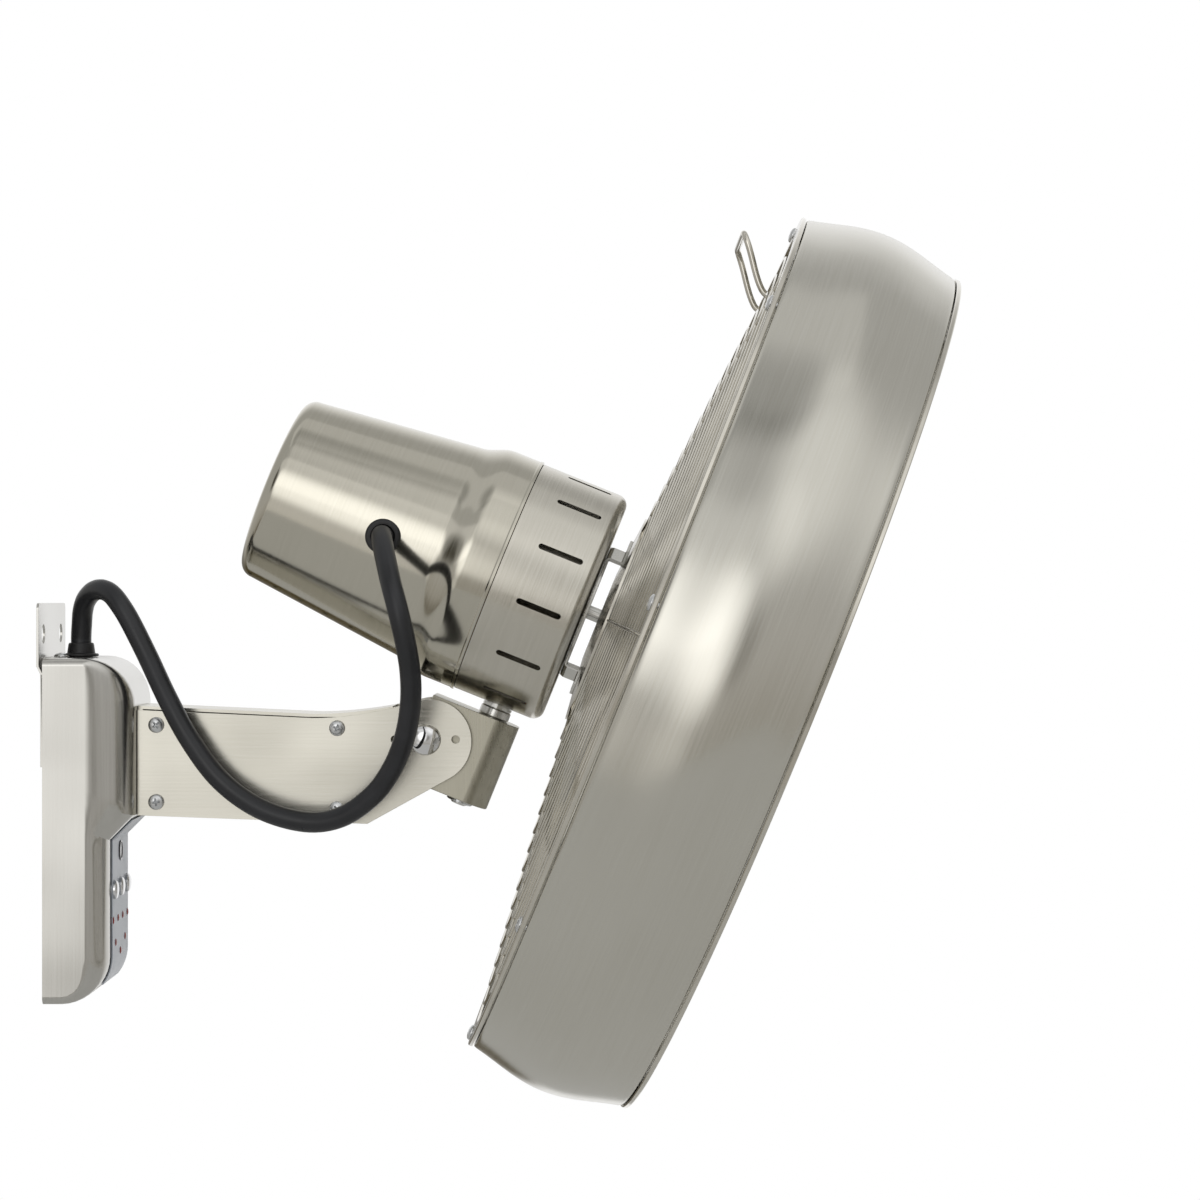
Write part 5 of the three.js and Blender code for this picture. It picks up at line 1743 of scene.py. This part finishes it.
@dataclass
class Cage:
    """The belled drum, the two wire grilles, their screws, the handle and the spider."""

    rim: float = 283.0
    inner: float = 268.0
    rear: float = 97.1
    front: float = 203.8
    thick: float = 3.0
    bulge: float = 9.3
    fullness: float = 1.35
    seam: float = 0.5  # extra groove beside each rim
    roll: float = 0.5  # how far the drum's edges are drawn in
    roll_reach: float = 3.0
    sheet: float = 1.5
    wall_steps: int = 48
    rings: int = 15
    wire: float = 1.0
    ribs: int = 6
    rib: float = 1.35
    plate: float = 69.0
    plate_hole: float = 12.0
    dish: float = 27.0
    screws: int = 8
    screw_circle: float = 275.5
    screw_hole: float = 2.4
    screw_phase: float = -4.0
    handle_half: float = 53.0
    handle_wire: float = 2.0
    handle_ring: float = 6 / 7  # the share of the way from plate to rim where it is welded
    handle_out: Pair = (27.0, 31.0)  # how far it stands to the rear and outwards
    spider_base: float = 63.2
    spider_sheet: float = 2.0
    fasteners: Fasteners = Fasteners()

    def screw_places(self, x: float) -> list[Matrix]:
        """Give the places of the rim's screws at a place along the axis."""
        return [turn(self.screw_phase + index * 360 / self.screws, "X")
                @ shift(x, 0, self.screw_circle) for index in range(self.screws)]

    def wall(self, start: float, end: float, inset: float) -> list[Pair]:
        """Give the belled wall from the rear rim to the front one.

        Args:
            start: Where it starts.
            end: Where it ends.
            inset: How far it is drawn in.

        Returns:
            The outline.
        """
        line = []
        for step in range(self.wall_steps + 1):
            share = step / self.wall_steps
            swell = self.bulge * max(0.0, math.sin(math.pi * share)) ** self.fullness
            along = (end - start) * share
            swell -= self.roll * math.exp(-min(along, end - start - along) / self.roll_reach)
            line.append((start + along, self.rim + swell - inset))
        return line

    def drum(self) -> Piece:
        """Spin the drum with its inward flanges.

        Returns:
            The drum in the head's frame.
        """
        start = self.rear + self.thick + GAP + self.seam
        end = self.front - self.thick - GAP - self.seam
        lip = self.rim - self.roll
        under = lip - self.sheet - 0.6
        outline = [
            (start, lip - 0.7), (start + 0.5, lip - 0.1), *self.wall(start, end, 0)[1:-1],
            (end - 0.5, lip - 0.1), (end, lip - 0.7), (end, self.inner),
            (end - self.sheet, self.inner), (end - self.sheet, under),
            *self.wall(start, end, self.sheet)[1:-1][::-1], (start + self.sheet, under),
            (start + self.sheet, self.inner), (start, self.inner)]
        cutters = [placed(bar(self.screw_hole, start - 1, start + self.sheet + 1, 12), place)
                   for place in self.screw_places(0)]
        return carved(spun("belled_drum", outline, 160), cutters)

    def back_of(self, radius: float, dish: float) -> float:
        """Give how far the grille's cone stands to the rear at a distance from its axis."""
        return dish * max(0.0, 1 - radius / self.inner)

    def ring(self, radius: float, x: float) -> Piece:
        """Bend one round wire of a grille.

        Args:
            radius: Its radius.
            x: Its place along the axis.

        Returns:
            The wire.
        """
        clear_bench()
        bpy.ops.mesh.primitive_torus_add(
            major_radius=radius * MM, minor_radius=self.wire * MM, major_segments=120,
            minor_segments=8, rotation=(0, math.pi / 2, 0), location=(x * MM, 0, 0))
        bpy.ops.object.transform_apply(location=True, rotation=True, scale=True)
        return bpy.context.object

    def grille(self, name: str, rear: float, dish: float, hole: float) -> Piece:
        """Weld a grille of round wires, ribs, rim and middle plate.

        Args:
            name: The object's name.
            rear: Where its rim starts along the axis.
            dish: The depth of its cone.
            hole: The radius of the middle plate's hole, or 0.

        Returns:
            The grille in the head's frame.
        """
        middle = rear + self.thick / 2
        pitch = (self.inner - self.plate) / (self.rings + 1)
        radii = [self.plate + index * pitch for index in range(1, self.rings + 1)]
        parts = [self.ring(radius, middle - 0.1 - self.back_of(radius, dish)) for radius in radii]
        ends = [Vector((middle + 0.1 - self.back_of(radius, dish), 0.0, radius))
                for radius in (self.plate - 4, self.inner + 4)]
        way = ends[1] - ends[0]
        along = shift(*ends[0]) @ way.to_track_quat("X", "Z").to_matrix().to_4x4()
        for index in range(self.ribs):
            rib = placed(bar(self.rib, 0, way.length, 10), along)
            parts.append(placed(rib, turn(index * 360 / self.ribs + 30, "X")))
        high = rear + self.thick
        parts.append(spun("rim", [
            (rear, self.inner + 0.5), (rear, self.rim - 0.6), (rear + 0.6, self.rim),
            (high - 0.6, self.rim), (high, self.rim - 0.6), (high, self.inner + 0.5),
            (high - 0.6, self.inner), (rear + 0.6, self.inner)], 160))
        back = rear - self.back_of(self.plate, dish)
        crown = rear - self.back_of(self.plate * 0.4, dish)
        outline = [
            (crown + 1.6, hole), (crown + 1.6, self.plate * 0.4), (back + 1.6, self.plate - 1),
            (back + self.thick, self.plate - 0.4), (back + self.thick, self.plate),
            (back, self.plate), (crown, self.plate * 0.4 + 1), (crown, hole)]
        parts.append(spun("plate", outline, 96, hole > 0))
        return joined(name, parts)

    def handle(self) -> Piece:
        """Bend the lifting handle.

        Returns:
            The handle in the head's frame.
        """
        weld = self.plate + (self.inner - self.plate) * self.handle_ring
        foot = self.rear - self.back_of(weld - 1.4, self.dish) - GAP
        height = weld - self.handle_half * math.tan(math.radians(15))
        top = (foot - self.handle_out[0], height + self.handle_out[1])

        def leg(side: int) -> list[Triple]:
            """Give one leg from the grille to the bend.

            Args:
                side: -1 or 1, the leg's side.

            Returns:
                The leg's points.
            """
            half = side * self.handle_half
            return [
                (foot, half, height), (foot - 1.5, half, height + 0.3),
                (foot - 4, half, height + 2), (foot - 10, half, height + 8.5),
                (top[0] + 8, half, top[1] - 9.5),
                (top[0] + 2.5, half, top[1] - 3), (top[0], half - side * 4, top[1]),
                (top[0], half - side * 11, top[1]),
            ]

        return bent_wire("handle_wire", leg(-1) + leg(1)[::-1], self.handle_wire)

    def spider(self) -> Piece:
        """Bend the four legs that carry the rear grille on the motor's front.

        Returns:
            The spider in the head's frame.
        """
        base, sheet = self.spider_base, self.spider_sheet
        foot = self.rear - self.back_of(55, self.dish) - GAP
        profile = [
            (base, 39), *arc((base + 3, 54), 3, 180, 90, 6),
            *arc((foot - sheet - 0.6, 57.6), 0.6, -90, 0, 3), (foot - sheet, 68), (foot, 68),
            (foot, 55), (base + sheet, 55), (base + sheet, 39)]
        parts = [spun("flange", [(base, 24), (base, 44), (base + 2, 44), (base + 2, 24)], 64)]
        parts += [placed(pressed("leg", profile, -5, 5), turn(angle, "X"))
                  for angle in (45, 135, 225, 315)]
        return softened(joined("grille_legs", parts), 0.3)

    def build(self, shop: Shop) -> None:
        """Make the whole cage.

        Args:
            shop: Where the pieces are kept.
        """
        drum = self.drum()
        rear = self.grille("rear_mesh", self.rear, self.dish, self.plate_hole)
        front = self.grille("front_mesh", self.front - self.thick, 0, 0)
        for piece, finish, node, smooth, slot in (
                (drum, "drum_steel", "drum", 30, ""),
                (rear, "wire_steel", "rear_grille", 40, ""),
                (front, "wire_steel", "front_grille", 40, ""),
                (self.handle(), "wire_steel", "lift_handle", 60, ""),
                (self.spider(), "pin_steel", "grille_spider", 40, "brushed_steel")):
            shop.keep(placed(piece, shop.head), "head", finish, node, smooth)
        places = [shop.head @ place @ turn(37 * index, "X")
                  for index, place in enumerate(self.screw_places(self.rear - GAP))]
        shop.keep_copies(self.fasteners.pan_screw(), places, "edge_screw_{}", "head", "zinc",
                         "rim_screw_{}")


# ------------------------------------------------------------------ rotor


@dataclass
class Rotor:
    """The shaft, hub and three pitched blades."""

    count: int = 3
    tip: float = 262.0
    root: float = 40.0
    centre: float = 146.0
    nose: float = 25.3  # from the blades' middle to the shaft's end
    thick: float = 2.0
    chord: Pair = (96.0, 168.0)
    chord_power: float = 0.8
    tip_round: Pair = (0.82, 0.24)  # shares of the reach where the rounding starts and its width
    pitch: Pair = (40.0, 20.0)
    sweep: float = 14.0
    camber: float = 7.0
    disc: float = 58.0
    disc_half: float = 4.0
    disc_bore: float = 18.3

    def station(self, share: float, steps: int = 14) -> list[Triple]:
        """Give the blade's closed section at a share of its reach.

        Args:
            share: 0 at the root and 1 at the tip.
            steps: Steps across each side.

        Returns:
            The section's points.
        """
        radius = self.root + (self.tip - self.root) * share
        chord = self.chord[0] + (self.chord[1] - self.chord[0]) * share ** self.chord_power
        first, width = self.tip_round
        if share > first:
            chord *= math.sqrt(max(0.0, 1 - ((share - first) / width) ** 2))
        pitch = math.radians(self.pitch[0] + (self.pitch[1] - self.pitch[0]) * share)
        lead = math.radians(self.sweep) * share ** 2
        points = []
        for side in (1, -1):
            for step in range(steps + 1)[::side]:
                across = step / steps - 0.5
                rise = self.camber * (1 - 4 * across ** 2)
                edge = math.sqrt(max(0.06, 1 - (2 * abs(across)) ** 6))
                angle = lead + across * chord * math.cos(pitch) / max(radius, self.disc)
                x = self.centre + across * chord * math.sin(pitch) + rise
                x += side * self.thick / 2 * edge
                points.append((x, radius * math.sin(angle), radius * math.cos(angle)))
        return points

    def blades(self) -> Piece:
        """Loft one blade, copy it round and add the pressed middle disc.

        Returns:
            The blades in the head's frame.
        """
        blade = lofted("blade", [self.station(step / 22) for step in range(23)])
        parts = [blade] + [copied(blade, "blade", turn(360 * index / self.count, "X"))
                           for index in range(1, self.count)]
        low, high = self.centre - self.disc_half, self.centre + self.disc_half
        parts.append(spun("disc", [
            (low, self.disc_bore), (low, self.disc - 1), (low + 1, self.disc),
            (high - 1, self.disc), (high, self.disc - 1), (high, 40), (high - 2, 36),
            (high - 2, 26), (high, 23), (high, self.disc_bore)], 80))
        return joined("pitched_blades", parts)

    def shaft(self) -> Piece:
        """Turn the shaft with its step in front of the bearing.

        Returns:
            The shaft in the head's frame.
        """
        end = self.centre + self.nose
        return spun("drive_shaft", [
            (-96, 0), (-96, 5.4), (-95.4, 6), (60.2, 6), (60.9, 5.4), (60.9, 4.5), (end - 0.8, 4.5),
            (end, 3.8), (end, 0)], 40, False)

    def build(self, shop: Shop) -> None:
        """Make the turning pieces.

        Args:
            shop: Where the pieces are kept.
        """
        blades = placed(self.blades(), shop.head)
        shop.keep(blades, "rotor", "blade_aluminium", "fan_blade", 40)
        shop.keep(placed(self.shaft(), shop.head), "rotor", "pin_steel", "motor_shaft", 40)
        shop.dress("cast_aluminium", "blade_hub")
        shop.dress("zinc", "blade_nut")


# ------------------------------------------------------------------ the whole fan


def main() -> None:
    """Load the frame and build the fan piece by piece."""
    logging.basicConfig(level=logging.INFO, format="%(name)s: %(message)s")
    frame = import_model()
    Studio().build()
    shop = Shop(frame)
    for assembly in (SupplyCord(), WallPlate(), ControlBox(), Arm(), Knuckle(), MotorPod(), Cage(),
                     Rotor()):
        assembly.build(shop)
    clear_bench()


if __name__ == "__main__":
    main()
